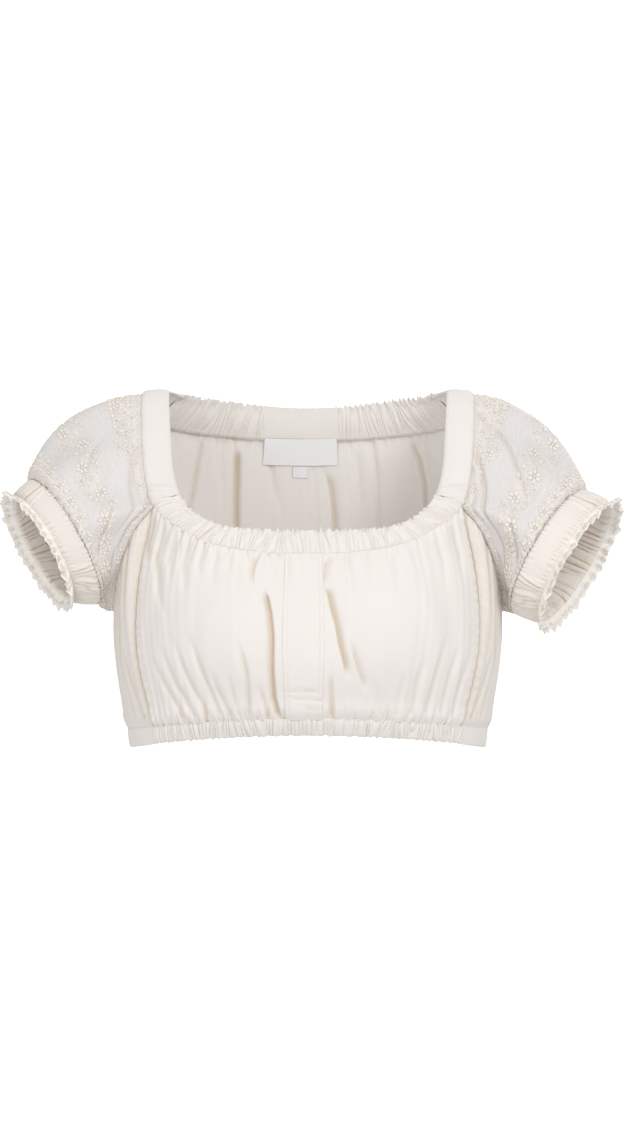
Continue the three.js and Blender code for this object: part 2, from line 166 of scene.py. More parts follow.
@dataclass(frozen=True)
class Fold:
    """One crease or soft ridge.

    Attributes:
        path: The points that it runs through, in the piece's own two directions.
        width: Half its width, in the same measure as the path.
        depth: How far it presses the cloth inwards, in millimetres; a ridge is negative.
        fade: The shares of its length over which it rises from nothing at each end.
        lean: How much wider one flank is than the other, from -1 to 1.
    """

    path: tuple[Pair, ...]
    width: float
    depth: float
    fade: Pair = (0.2, 0.3)
    lean: float = 0.0

    def press(self, across: Array, down: Array) -> Array:
        """Works out how far the fold presses each point.

        Args:
            across: Each point's place in the path's first direction.
            down: Each point's place in the path's second direction.

        Returns:
            Depths in millimetres.
        """
        points = np.array(self.path, float)
        runs = np.linalg.norm(np.diff(points, axis=0), axis=1)
        starts = np.concatenate([[0], np.cumsum(runs)])
        nearest = np.full(across.shape, np.inf)
        flank, along = np.ones(across.shape), np.zeros(across.shape)
        for (ax, az), (bx, bz), run, start in zip(points, points[1:], runs, starts):
            dx, dz = (bx - ax) / run, (bz - az) / run
            t = np.clip((across - ax) * dx + (down - az) * dz, 0, run)
            gap_x, gap_z = across - ax - t * dx, down - az - t * dz
            gap = np.hypot(gap_x, gap_z)
            closer = gap < nearest
            nearest = np.where(closer, gap, nearest)
            along = np.where(closer, (start + t) / starts[-1], along)
            flank = np.where(closer, 1 + self.lean * np.sign(gap_x * dz - gap_z * dx), flank)
        first, last = self.fade
        rise = ease(along / first) if first else 1.0
        fall = ease((1 - along) / last) if last else 1.0
        return self.depth * bell(nearest / flank, self.width) * rise * fall


def press_all(folds: tuple[Fold, ...], across: Array, down: Array) -> Array:
    """Adds up how far several folds press each point, in millimetres."""
    total = np.zeros(across.shape)
    for fold in folds:
        total += fold.press(across, down)
    return total


@dataclass(frozen=True)
class Gathers:
    """Small folds that leave a gathered seam and die away, uneven in length, depth and pitch.

    Attributes:
        count: How many there are along the seam.
        depth: The depth of a full one, in millimetres.
        length: The length of a middling one, in millimetres.
        seed: Which unevenness they have.
        width: Half the width of one, as a share of their pitch.
        drift: How far one may stray sideways over its length, in pitches.
    """

    count: int
    depth: float
    length: float
    seed: int
    width: float = 0.26
    drift: float = 1.2

    def press(self, share: Array, away: Array, strength: Array | float = 1.0) -> Array:
        """Works out how far the gathers press each point.

        Args:
            share: Places along the seam, from 0 to 1.
            away: Distances from the seam, in millimetres.
            strength: How strongly the seam is gathered at each place.

        Returns:
            Depths in millimetres.
        """
        chance = np.random.default_rng(self.seed)
        pitch = 1 / self.count
        total = np.zeros(share.shape)
        for i in range(self.count):
            middle = (i + 0.5 + chance.uniform(-0.34, 0.34)) * pitch
            length = self.length * chance.uniform(0.45, 1.6)
            depth = self.depth * chance.uniform(0.35, 1.15)
            stray = self.drift * pitch * chance.uniform(-1, 1)
            width = self.width * pitch * chance.uniform(0.7, 1.35)
            near = np.abs(share - middle) < 4 * width + abs(stray)
            reach = away[near] / length
            offset = share[near] - middle - stray * np.minimum(reach, 1)
            total[near] += depth * bell(offset, width) * (1 - ease(reach)) ** 1.3
        return total * strength


@dataclass(frozen=True)
class Ruching:
    """The close ribs of a casing that elastic draws up.

    Attributes:
        count: How many ribs there are along the casing.
        height: How high a full rib stands, in millimetres.
        seed: Which unevenness they have.
        slant: How far a rib leans across the casing's depth, in ribs.
        smooth: Stretches of the casing, as shares, that are left nearly flat.
    """

    count: int
    height: float
    seed: int
    slant: float = 1.1
    smooth: tuple[Pair, ...] = ()

    def ribs(self, share: Array, depth_share: Array) -> Array:
        """Works out the ribs' form.

        Args:
            share: Places along the casing, from 0 to 1.
            depth_share: Places across its depth, from 0 to 1.

        Returns:
            0 in the creases and 1 on top of a rib.
        """
        wander = 0.5 * Uneven(self.seed, (5, 29)).at(share)
        lean = self.slant * Uneven(self.seed + 1, (2, 9)).at(share) * (depth_share - 0.5)
        ribs = np.abs(np.sin(math.pi * (self.count * share + wander + lean))) ** 0.8
        # Some creases end half way across, so the ribs beside them join.
        across = 1.2 * (depth_share - 0.5)
        joined = ease(1.3 * Uneven(self.seed + 4, (17, 59)).at(share) - 0.3 + across)
        return np.maximum(ribs, 0.72 * joined)

    def rise(self, share: Array, depth_share: Array) -> Array:
        """How high the ribs stand at each point, in millimetres."""
        full = 0.82 + 0.2 * np.clip(Uneven(self.seed + 2, (9, 31)).at(share), -1.6, 1.0)
        return self.height * self.ribs(share, depth_share) * full * self.strength(share)

    def crease(self, share: Array, depth_share: Array) -> Array:
        """How far in a crease between ribs each point lies, from 0 to 1; it sets the painted shade there.
        """
        deep = 0.62 + 0.3 * Uneven(self.seed + 5, (13, 41)).at(share)
        return np.clip(1 - self.ribs(share, depth_share) / 0.5, 0, 1) * deep * self.strength(share)

    def on_band(self, share: Array, w: Array) -> Array:
        """The crease at shares along a folded band and round it, which sets its painted shade."""
        return self.crease(share, two_layers(w)[0])

    def strength(self, share: Array) -> Array:
        """How strongly the casing is drawn up at each place, from 0 to 1."""
        edge, pressed = 0.012, 0.92
        total = np.ones(share.shape)
        for start, end in self.smooth:
            inside = ease((share - start) / edge) * ease((end - share) / edge)
            total *= 1 - pressed * inside
        return total


@dataclass(frozen=True)
class Curve:
    """A smooth curve through points, followed by the number of the row.

    Attributes:
        points: The points, in millimetres.
        closed: Whether the last one leads back to the first.
    """

    points: tuple[Point, ...]
    closed: bool = False

    def at(self, rows: Array) -> Array:
        """Reads the curve.

        Args:
            rows: Row numbers, whole at the points themselves.

        Returns:
            A point for each row number.
        """
        points = np.array(self.points, float)
        rows = np.asarray(rows, float)
        if self.closed:
            start = np.floor(rows).astype(int)
            around = [points[(start + k) % len(points)] for k in (-1, 0, 1, 2)]
        else:
            rows = np.clip(rows, 0, len(points) - 1)
            start = np.minimum(np.floor(rows).astype(int), len(points) - 2)
            before, after = 2 * points[0] - points[1], 2 * points[-1] - points[-2]
            longer = np.vstack([before, points, after])
            around = [longer[start + k] for k in range(4)]
        a, b, c, d = around
        t = column(rows - start)
        cubic = (3 * b - 3 * c + d - a) * t + (2 * a - 5 * b + 4 * c - d)
        return 0.5 * (2 * b + (c - a) * t + cubic * t**2)


@dataclass(frozen=True)
class EvenCurve:
    """A curve that is followed at an even pace, from 0 at its start to 1 at its end.

    Attributes:
        at_rows: The curve by row number.
        rows: How many rows long it is.
    """

    at_rows: Callable[[Array], Array]
    rows: int

    def at(self, share: Array) -> Array:
        """Reads the curve at shares of its length."""
        rows, lengths = self.lengths
        return self.at_rows(np.interp(np.clip(share, 0, 1) * lengths[-1], lengths, rows))

    @cached_property
    def lengths(self) -> tuple[Array, Array]:
        """Row numbers, close together, and the length of the curve up to each."""
        rows = np.linspace(0, self.rows, 24 * self.rows + 1)
        points = self.at_rows(rows)
        runs = np.linalg.norm(np.diff(points, axis=0), axis=1)
        return rows, np.concatenate([[0], np.cumsum(runs)])


@dataclass(frozen=True)
class Arm:
    """One arm opening, given on the wearer's left.

    Attributes:
        axis: The way that the arm leaves the sleeve.
        up: The upward direction across it.
        sleeve: The middle of the ring where the sleeve ends.
        sleeve_radius: That ring's radius.
        hand: The middle of the ring where the cuff ends.
        hand_radius: That ring's radius.
        swell: How far the sleeve swells above the cuff, as a share of its length.
    """

    axis: Point
    up: Point
    sleeve: Point
    sleeve_radius: float
    hand: Point
    hand_radius: float
    swell: float

    @property
    def along(self) -> Array:
        """The arm's direction, of length 1."""
        return np.array(self.axis) / np.linalg.norm(self.axis)

    def radial(self, share: Array) -> Array:
        """Directions across the arm; share 0 is upwards, and it turns forwards first."""
        forward = np.cross(self.along, np.array(self.up))
        turn = TURN * np.asarray(share, float)
        return column(np.cos(turn)) * np.array(self.up) + column(np.sin(turn)) * forward

    def ring(self, share: Array, hand: bool) -> Array:
        """Points of the sleeve's ring, or of the hand's."""
        at_sleeve, at_hand = (self.sleeve, self.sleeve_radius), (self.hand, self.hand_radius)
        centre, radius = at_hand if hand else at_sleeve
        return np.array(centre) + radius * self.radial(share)


ARMS = {
    Side.LEFT: Arm(
        axis=(0.819, -0.3, -0.487), up=(0.511, 0, 0.859), sleeve=(191.4, -12, -131.3),
        sleeve_radius=54.5, hand=(212.3, -16.6, -140.5), hand_radius=53.5, swell=0.22,
    ),
    Side.RIGHT: Arm(
        axis=(0.829, -0.3, -0.471), up=(0.494, 0, 0.869), sleeve=(193.8, -12, -123.6),
        sleeve_radius=54.5, hand=(210.5, -15.6, -129.3), hand_radius=46, swell=0.32,
    ),
}


@dataclass(frozen=True)
class Form:
    """The filled-out body that the cloth hangs on, and the seams that the pieces share.

    Attributes:
        sections: From the hem up: height, half width, and reach forwards and backwards.
        neck_edge: Half the neckline's free edge, from the centre front to the centre back.
        neck_seam: Half the seam below the casing, in the same rows.
        armhole_points: The armhole seam, from the front corner to the back one.
        front_corner: The neckline row where the front panel meets the sleeve.
        shoulder_top: The neckline row at the top of the shoulder.
        back_corner: The neckline row where the back panel meets the sleeve.
        centre_back: The neckline row at the centre back.
        seam_foot: The angle from the side where the long seams meet the hem.
        seam_bow: How far they bow towards the side on their way down.
        hem_height: The hem seam's height at the sides.
        front_rise: Its rise at the centre front.
        back_rise: Its rise at the centre back.
        hem_depth: The depth of the hem casing.
        seam_lap: How far a panel reaches under the casings, past its seams.
        sleeve_lap: How far a sleeve reaches under the band and the panels.
    """

    sections: tuple[tuple[float, float, float, float], ...] = (
        (-292, 141.5, 92, 86), (-275, 143, 95, 87), (-264, 146, 101, 88.5), (-250, 149, 109, 90),
        (-228, 152.3, 118, 93), (-208, 154.3, 121, 95), (-178, 154.5, 118, 97),
        (-135, 153, 105, 98), (-95, 150, 92, 97), (-60, 148, 82, 95), (-20, 145, 70, 90),
        (10, 142, 55, 84),
    )
    neck_edge: tuple[Point, ...] = (
        (0, -98, -116), (33, -96.5, -115.5), (65, -89, -112.5), (86, -75, -103),
        (99, -57, -89), (106, -40, -66), (109, -20, -35), (111, 3, -6.5), (110, 29, -3),
        (101, 52, -4), (88, 66, -5.5), (64, 79, -8), (33, 85.5, -11.5), (0, 87, -13),
    )
    neck_seam: tuple[Point, ...] = (
        (0, -105, -135), (38, -103, -133.5), (74, -93, -127), (103, -74, -112.5),
        (121, -55, -96.5), (128.5, -40, -72), (132, -20, -38), (133.5, 5, -8.5),
        (132.5, 31, -7), (125, 51, -25), (108, 69, -32), (76, 84, -36), (38, 91, -39),
        (0, 93, -40),
    )
    armhole_points: tuple[Point, ...] = (
        (121, -55, -96.5), (136.5, -50, -115), (147, -36, -138.5), (153.5, -14, -166),
        (155, 4, -178), (153, 24, -162), (147.5, 42, -125), (138.5, 52, -75), (125, 51, -25),
    )
    front_corner: int = 4
    shoulder_top: int = 7
    back_corner: int = 9
    centre_back: int = 13
    seam_foot: float = math.radians(34)
    seam_bow: float = math.radians(6)
    hem_height: float = -272
    front_rise: float = 12
    back_rise: float = 3
    hem_depth: float = 14
    seam_lap: float = 1.8
    sleeve_lap: float = 0.8

    def section(self, z: Array) -> tuple[Array, Array, Array]:
        """The body's half width and its reach forwards and backwards at each height."""
        rows = np.array(self.sections, float)
        heights, values = rows[:, 0], rows[:, 1:]
        slopes = np.empty_like(values)
        slopes[1:-1] = (values[2:] - values[:-2]) / (heights[2:] - heights[:-2])[:, None]
        slopes[0] = (values[1] - values[0]) / (heights[1] - heights[0])
        slopes[-1] = (values[-1] - values[-2]) / (heights[-1] - heights[-2])
        i = np.clip(np.searchsorted(heights, z) - 1, 0, len(rows) - 2)
        span = column(heights[i + 1] - heights[i])
        t = np.clip(column(z - heights[i]) / span, 0, 1)
        read = (
            (2 * t**3 - 3 * t**2 + 1) * values[i]
            + (t**3 - 2 * t**2 + t) * span * slopes[i]
            + (3 * t**2 - 2 * t**3) * values[i + 1]
            + (t**3 - t**2) * span * slopes[i + 1]
        )
        return read[:, 0], read[:, 1], read[:, 2]

    def point(self, angle: Array, z: Array, scale: Array | float = 1.0) -> Array:
        """Points of the body at angles from the wearer's left side, negative to the front."""
        half, front, back = self.section(z)
        depth = np.where(angle < 0, front, back)
        return np.stack([half * np.cos(angle) * scale, depth * np.sin(angle) * scale, z], axis=1)

    def around(self, points: Array) -> tuple[Array, Array]:
        """Each point's angle about the body, and how far out it lies compared with it."""
        half, front, back = self.section(points[:, 2])
        x = points[:, 0] / half
        y = points[:, 1] / np.where(points[:, 1] < 0, front, back)
        return np.arctan2(y, x), np.hypot(x, y)

    def facing(self, points: Array) -> Array:
        """The way the cloth faces: outwards, and upwards over the shoulders."""
        x, y, z = points.T
        wide, deep, chest, flat_back, tilt = 150, 100, -135, 110, 0.0134
        over_chest = np.clip(1 - z / chest, 0, 1)
        over_back = np.where(y > 0, np.maximum(0, 1 - (y / flat_back) ** 2), 1)
        up = tilt * over_chest * over_back
        return unit(np.stack([x / wide**2, y / deep**2, up], axis=1))

    def hem_seam_height(self, angle: Array) -> Array:
        """The hem seam's height at angles about the body."""
        rise = np.where(angle < 0, self.front_rise, self.back_rise)
        return self.hem_height + rise * np.sin(angle) ** 2

    def whole_neckline(self, half: tuple[Point, ...]) -> Curve:
        """Closes half a neckline over the wearer's right shoulder."""
        back_again = [(-x, y, z) for x, y, z in half[1 : self.centre_back]]
        return Curve((*half, *reversed(back_again)), closed=True)

    @cached_property
    def neckline(self) -> Curve:
        """The neckline's free edge, rows counted from the centre front over the left shoulder."""
        return self.whole_neckline(self.neck_edge)

    @cached_property
    def neckline_seam(self) -> Curve:
        """The seam below the neckline casing, in the same rows."""
        return self.whole_neckline(self.neck_seam)

    @cached_property
    def armhole(self) -> Curve:
        """The armhole seam on the wearer's left."""
        return Curve(self.armhole_points)

    @cached_property
    def front_top(self) -> EvenCurve:
        """The front panel's top seam, from the wearer's right to left."""
        corner = self.front_corner
        return EvenCurve(lambda row: self.neckline_seam.at(row - corner), 2 * corner)

    @cached_property
    def back_top(self) -> EvenCurve:
        """The back panel's top seam, from the wearer's right to left."""
        half = self.centre_back - self.back_corner
        last = self.centre_back + half
        return EvenCurve(lambda row: self.neckline_seam.at(last - row), 2 * half)

    @cached_property
    def side_top(self) -> EvenCurve:
        """The left side panel's top seam, from front to back."""
        return EvenCurve(self.armhole.at, len(self.armhole_points) - 1)

    def hang(self, top: Array, foot: Array, bow: Array, v: Array) -> Array:
        """The middle of cloth that hangs from a top seam to the hem.

        Args:
            top: The point of the top seam that each column hangs from.
            foot: The angle at which it meets the hem.
            bow: How far it bows aside on its way.
            v: The share of the way down.

        Returns:
            A point for each row of the arguments.
        """
        start, out = self.around(top)
        angle = lerp(start, foot, v) + bow * np.sin(math.pi * v)
        height = lerp(top[:, 2] + self.seam_lap, self.hem_seam_height(foot) - self.seam_lap, v)
        point = self.point(angle, height, lerp(out, 1, ease(v)))
        aside, level, wide, deep, lift = 64, -188, 46, 60, 7
        forwards = np.clip(-point[:, 1] / deep, 0, 1)
        cup = bell(np.abs(point[:, 0]) - aside, wide) * bell(point[:, 2] - level, wide)
        return point + self.facing(point) * column(lift * forwards * cup)

    def front(self, u: Array, v: Array) -> Array:
        """The front panel's middle, u from the wearer's right to left and v downwards."""
        foot = lerp(self.seam_foot - math.pi, -self.seam_foot, u)
        return self.hang(self.front_top.at(u), foot, self.seam_bow * (2 * u - 1), v)

    def back(self, u: Array, v: Array) -> Array:
        """The back panel's middle, u from the wearer's right to left and v downwards."""
        foot = lerp(math.pi - self.seam_foot, self.seam_foot, u)
        return self.hang(self.back_top.at(u), foot, self.seam_bow * (1 - 2 * u), v)

    def side(self, u: Array, v: Array) -> Array:
        """The left side panel's middle, u from the front seam to the back one."""
        foot = lerp(-self.seam_foot, self.seam_foot, u)
        return self.hang(self.side_top.at(u), foot, self.seam_bow * (1 - 2 * u), v)

    @property
    def sleeve_rows(self) -> tuple[int, int, int]:
        """Rows of the sleeve's seam: down the front, round the armhole and up the back."""
        front = self.shoulder_top - self.front_corner
        return front, len(self.armhole_points) - 1, self.back_corner - self.shoulder_top

    @cached_property
    def sleeve_seam(self) -> EvenCurve:
        """The seam that the left sleeve hangs from, starting at the top of the shoulder."""
        front, armhole, back = self.sleeve_rows

        def at_rows(rows: Array) -> Array:
            """Reads the seam by row number."""
            rows = np.asarray(rows, float)
            down = self.neckline_seam.at(self.shoulder_top - np.minimum(rows, front))
            round_arm = self.armhole.at(rows - front)
            up = self.neckline_seam.at(self.back_corner - (rows - front - armhole))
            past = column(rows)
            return np.where(past < front, down, np.where(past <= front + armhole, round_arm, up))

        return EvenCurve(at_rows, front + armhole + back)

    def sleeve(self, arm: Arm, s: Array, t: Array) -> Array:
        """The middle of the sleeve's cloth, which swells on its way from seam to cuff.

        Args:
            arm: The arm opening.
            s: Shares round the arm, from the top of the shoulder and forwards first.
            t: Shares of the way from the seam to the cuff.

        Returns:
            A point for each pair of shares, on the wearer's left.
        """
        step, bend, full_length, onwards, sink = 0.004, 0.42, 80, 0.3, -0.08
        share = np.mod(s, 1.0)
        curve = self.sleeve_seam
        seam = curve.at(share)
        along = curve.at(np.mod(share + step, 1)) - curve.at(np.mod(share - step, 1))
        out = self.facing(seam)
        start = seam - unit(np.cross(out, along)) * self.sleeve_lap
        end = arm.ring(share, hand=False)
        span = np.linalg.norm(end - start, axis=1)
        level = np.ones(len(out))
        leave = unit(np.stack([level, onwards * out[:, 1], sink * level], axis=1))
        arrive = unit(0.8 * arm.radial(share) - 0.6 * arm.along)
        swell = arm.swell * span * ease(span / full_length)
        a, b, c = (1 - t) ** 3, 3 * (1 - t) ** 2 * t, 3 * (1 - t) * t**2
        point = start * column(a + b) + leave * column(b * bend * span)
        return point + end * column(c + t**3) + arrive * column(c * swell)


FORM = Form()


@dataclass(frozen=True)
class Nodes:
    """Builds one material's nodes, a node and its links at a time.

    Attributes:
        tree: The material's node tree.
    """

    tree: bpy.types.NodeTree

    def add(self, kind: str, settings: dict | None = None, **sockets: object) -> bpy.types.Node:
        """Adds a node.

        Args:
            kind: The node's type, without its ShaderNode prefix.
            settings: The node's own properties.
            **sockets: A value or an output for each input, with spaces as underscores.

        Returns:
            The new node.
        """
        node = self.tree.nodes.new(f"ShaderNode{kind}")
        for key, value in (settings or {}).items():
            setattr(node, key, value)
        for key, value in sockets.items():
            socket = node.inputs[int(key[1:]) if key[1:].isdigit() else key.replace("_", " ")]
            if isinstance(value, Socket):
                self.tree.links.new(value, socket)
            else:
                socket.default_value = value
        return node

    def blend(self, share: object, first: object, second: object) -> Socket:
        """Mixes two colours, by the share of the second one."""
        mix = self.add("Mix", {"data_type": "RGBA"}, i0=share, i6=first, i7=second)
        return mix.outputs[2]

    def maths(self, operation: str, *values: object) -> Socket:
        """Works out one sum from two or three values."""
        sockets = {f"i{k}": value for k, value in enumerate(values)}
        return self.add("Math", {"operation": operation}, **sockets).outputs[0]

    def noise(self, place: object, scale: float, detail: float) -> Socket:
        """Noise from 0 to 1 over coordinates."""
        return self.add("TexNoise", Vector=place, Scale=scale, Detail=detail).outputs[0]

    def spread(self, value: object, low: float, high: float) -> Socket:
        """Spreads a value from 0 to 1 over a range."""
        return self.add("MapRange", Value=value, To_Min=low, To_Max=high).outputs[0]

    def thread_waves(self, cut: object, pitch: float, direction: str) -> Socket:
        """Rows of threads.

        Args:
            cut: The coordinates that they lie on, in metres.
            pitch: The distance between threads, in metres.
            direction: The axis that they are counted along.

        Returns:
            A height from 0 to 1.
        """
        settings = {"wave_type": "BANDS", "bands_direction": direction, "wave_profile": "SIN"}
        wave = self.add(
            "TexWave", settings, Vector=cut, Scale=TURN / (20 * pitch), Distortion=0.6,
            Detail=1.0, Detail_Scale=1.5,
        )
        return wave.outputs["Fac"]


# How many slubs a metre of cloth has along its threads, and across them.
SLUBS = (90, 1400)
# How many clouds of paler and darker colour it has, and how much they change the colour.
CLOUDS = 16.0
PALER, DARKER = 1.035, 0.965
# How far a slub turns to the shade and slub colour, and how strongly painted shade darkens the embroidered
# ground around each knot.
SLUB_TINT, KNOT_GAP_SHADE = 0.10, 0.28
# How strongly the weave and the knots show as relief, and a knot's height over its size.
WEAVE_RELIEF, KNOT_RELIEF, KNOT_HEIGHT = 0.5, 0.8, 0.15
# Where a knot starts and where it is full, as distances from its middle.
KNOT_EDGE, KNOT_TOP = 0.62, 0.2


@dataclass(frozen=True)
class Finish:
    """A woven cloth, lace or thread, with its weave, its unevenness and its colour.

    Attributes:
        name: The material's name.
        colour: Its colour where it lies flat.
        shade_and_slub_colour: Painted shade that creases, the ground between knots and the undersides of
            stitches take on; slubs also turn towards it.
        roughness: How rough it is.
        sheen: How much its fibres shine at the edges.
        pitch: The distance between its threads, in metres.
        relief: How high its threads stand, in metres.
        slub: How much thicker and thinner its threads run, as a share of the relief.
        cover: How much the cloth covers where it is thinnest and where it is densest.
        knot: The size of the knots that fill embroidered ground, in metres.
    """

    name: str
    colour: Point
    shade_and_slub_colour: Point
    roughness: float = 0.86
    sheen: float = 0.18
    pitch: float = 0.0005
    relief: float = 0.00006
    slub: float = 0.6
    cover: Pair = (1.0, 1.0)
    knot: float = 0.0034

    def material(self) -> bpy.types.Material:
        """Makes the material, or finds it if it is made already."""
        known = bpy.data.materials.get(self.name)
        return known or self.weave()

    def weave(self) -> bpy.types.Material:
        """Builds the material's nodes.

        Returns:
            The new material.
        """
        made = bpy.data.materials.new(self.name)
        made.use_nodes = True
        nodes = Nodes(made.node_tree)
        made.node_tree.nodes.clear()
        cut = nodes.add("UVMap", {"uv_map": "cut"}).outputs[0]
        place = nodes.add("TexCoord").outputs["Object"]
        crease = nodes.add("Attribute", {"attribute_name": "crease"}).outputs["Fac"]

        warp = nodes.thread_waves(cut, self.pitch, "X")
        weft = nodes.thread_waves(cut, self.pitch, "Y")
        threads = nodes.maths("MAXIMUM", warp, weft)
        slubs, cross_slubs = (
            nodes.noise(nodes.add("Mapping", Vector=cut, Scale=(*scale, 1)).outputs[0], 1.0, 2.0)
            for scale in (SLUBS, SLUBS[::-1])
        )
        both = nodes.maths("ADD", slubs, cross_slubs)
        uneven = nodes.maths("MULTIPLY_ADD", both, self.slub, threads)
        bump = nodes.add(
            "Bump", Height=uneven, Strength=WEAVE_RELIEF, Distance=self.relief
        ).outputs[0]

        cloud = nodes.noise(place, CLOUDS, 3.0)
        paler = tuple(min(1.0, PALER * part) for part in self.colour)
        darker = tuple(DARKER * part for part in self.colour)
        ground = nodes.blend(cloud, (*darker, 1), (*paler, 1))
        specks = nodes.spread(both, 0.0, SLUB_TINT)
        threaded = nodes.blend(specks, ground, (*self.shade_and_slub_colour, 1))
        # Painted shade: the crease attribute turns the colour towards the shade colour.
        colour = nodes.blend(crease, threaded, (*self.shade_and_slub_colour, 1))

        thin, dense = self.cover
        alpha: object = 1.0
        if thin < 1:
            worked = nodes.add("Attribute", {"attribute_name": "worked"}).outputs["Fac"]
            cells = nodes.add("TexVoronoi", Vector=cut, Scale=1 / self.knot).outputs["Distance"]
            knots = nodes.add(
                "MapRange", Value=cells, From_Min=KNOT_EDGE, From_Max=KNOT_TOP
            ).outputs[0]
            sewn = nodes.maths("MULTIPLY", knots, worked)
            bump = nodes.add(
                "Bump", Height=sewn, Strength=KNOT_RELIEF, Distance=KNOT_HEIGHT * self.knot,
                Normal=bump,
            ).outputs[0]
            # Painted shade on the embroidered ground between the raised knots.
            knot_gap_shade = nodes.maths("MULTIPLY", nodes.maths("SUBTRACT", worked, sewn), KNOT_GAP_SHADE)
            colour = nodes.blend(knot_gap_shade, colour, (*self.shade_and_slub_colour, 1))
            filled = nodes.maths("MAXIMUM", nodes.maths("MAXIMUM", crease, slubs), worked)
            alpha = nodes.spread(filled, thin, dense)
        shader = nodes.add(
            "BsdfPrincipled", Base_Color=colour, Roughness=self.roughness, Normal=bump,
            Alpha=alpha, Sheen_Weight=self.sheen, Sheen_Roughness=0.5, Specular_IOR_Level=0.25,
        )
        nodes.add("OutputMaterial", Surface=shader.outputs[0])
        return made


# Each finish's second colour is painted shade for its creases, and the tone its slubs turn to.
COTTON = Finish("cream_cotton", (0.875, 0.852, 0.832), (0.71, 0.60, 0.46))
CUFF_COTTON = Finish("cuff_cotton", (0.89, 0.862, 0.835), (0.60, 0.46, 0.30))
SHEER = Finish(
    "sheer_cloth", (0.90, 0.888, 0.893), (0.74, 0.64, 0.53), roughness=0.7, sheen=0.3,
    pitch=0.0007, relief=0.00004, cover=(0.5, 0.95),
)
THREAD = Finish(
    "embroidery_thread", (0.93, 0.905, 0.87), (0.64, 0.53, 0.41), roughness=0.6, sheen=0.25,
    pitch=0.0004, relief=0.00012, slub=0.2,
)
LACE = Finish(
    "lace", (0.94, 0.925, 0.91), (0.58, 0.48, 0.36), roughness=0.7, pitch=0.0009,
    relief=0.00018, slub=0.3, cover=(0.92, 1.0), knot=0.0026,
)
LABEL = Finish(
    "label_satin", (0.86, 0.86, 0.875), (0.78, 0.78, 0.80), roughness=0.45, sheen=0.1,
    pitch=0.0004, relief=0.00003, slub=0.3,
)


def place_points(verts: bmesh.types.BMVertSeq | list, points: Array) -> None:
    """Moves a mesh's points to places given in millimetres."""
    for vert, point in zip(verts, points * MM):
        vert.co = point


def place_shapes(bm: Shape, points: Array) -> None:
    """Moves the points of many closed shapes, in millimetres, and turns their faces outwards."""
    place_points(bm.verts, points)
    bm.normal_update()
    bmesh.ops.recalc_face_normals(bm, faces=bm.faces)


def turn_outwards(bm: Shape, surface: Surface, u: Array, v: Array) -> None:
    """Turns all faces round if most of them look inwards.

    Args:
        bm: The mesh.
        surface: The surface that it lies on.
        u: Each point's share across.
        v: Each point's share down.
    """
    bm.normal_update()
    bm.verts.index_update()
    bm.faces.ensure_lookup_table()
    some = [bm.faces[i] for i in range(0, len(bm.faces), max(1, len(bm.faces) // 400))]
    corners = np.array([face.verts[0].index for face in some])
    outward = surface(u[corners], v[corners], 1.0) - surface(u[corners], v[corners], 0.0)
    if sum(face.normal.dot(Vector(way)) for face, way in zip(some, outward)) < 0:
        bmesh.ops.reverse_faces(bm, faces=bm.faces)


def repeat(shape: Shape, count: int) -> tuple[Shape, Array]:
    """Repeats a small shape in one mesh.

    Args:
        shape: The shape, which is freed.
        count: How many there are to be.

    Returns:
        The mesh with all of them in one place, and the shape's own points.
    """
    once = bpy.data.meshes.new("shape")
    shape.to_mesh(once)
    shape.free()
    bm = bmesh.new()
    for _ in range(count):
        bm.from_mesh(once)
    points = np.array([vert.co for vert in once.vertices])
    bpy.data.meshes.remove(once)
    return bm, points


def into_object(name: str, bm: Shape) -> Piece:
    """Makes an object of a mesh at the origin, smooth all over.

    Args:
        name: The piece's name.
        bm: Its mesh, which is freed.

    Returns:
        The new object.
    """
    mesh = bpy.data.meshes.new(name)
    bm.to_mesh(mesh)
    bm.free()
    mesh.shade_smooth()
    made = bpy.data.objects.new(name, mesh)
    bpy.context.scene.collection.objects.link(made)
    return made


def shade(made: Piece, values: Array) -> None:
    """Says how far in a crease each point of a finished piece lies, from 0 to 1, which sets its painted
    shade.
    """
    layer = made.data.attributes.new("crease", "FLOAT", "POINT")
    layer.data.foreach_set("value", np.clip(values, 0, 1).astype(np.float32))


def dress(
    made: Piece, finish: Finish, nodes: tuple[str, ...] = ()
) -> Piece:
    """Gives a piece its finish and its place in the frame.

    Args:
        made: The piece.
        finish: What it is made of.
        nodes: The CAD nodes that it stands for.

    Returns:
        The same piece.
    """
    made.data.materials.append(finish.material())
    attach(made, "root")
    if nodes:
        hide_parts(*nodes)
    return made


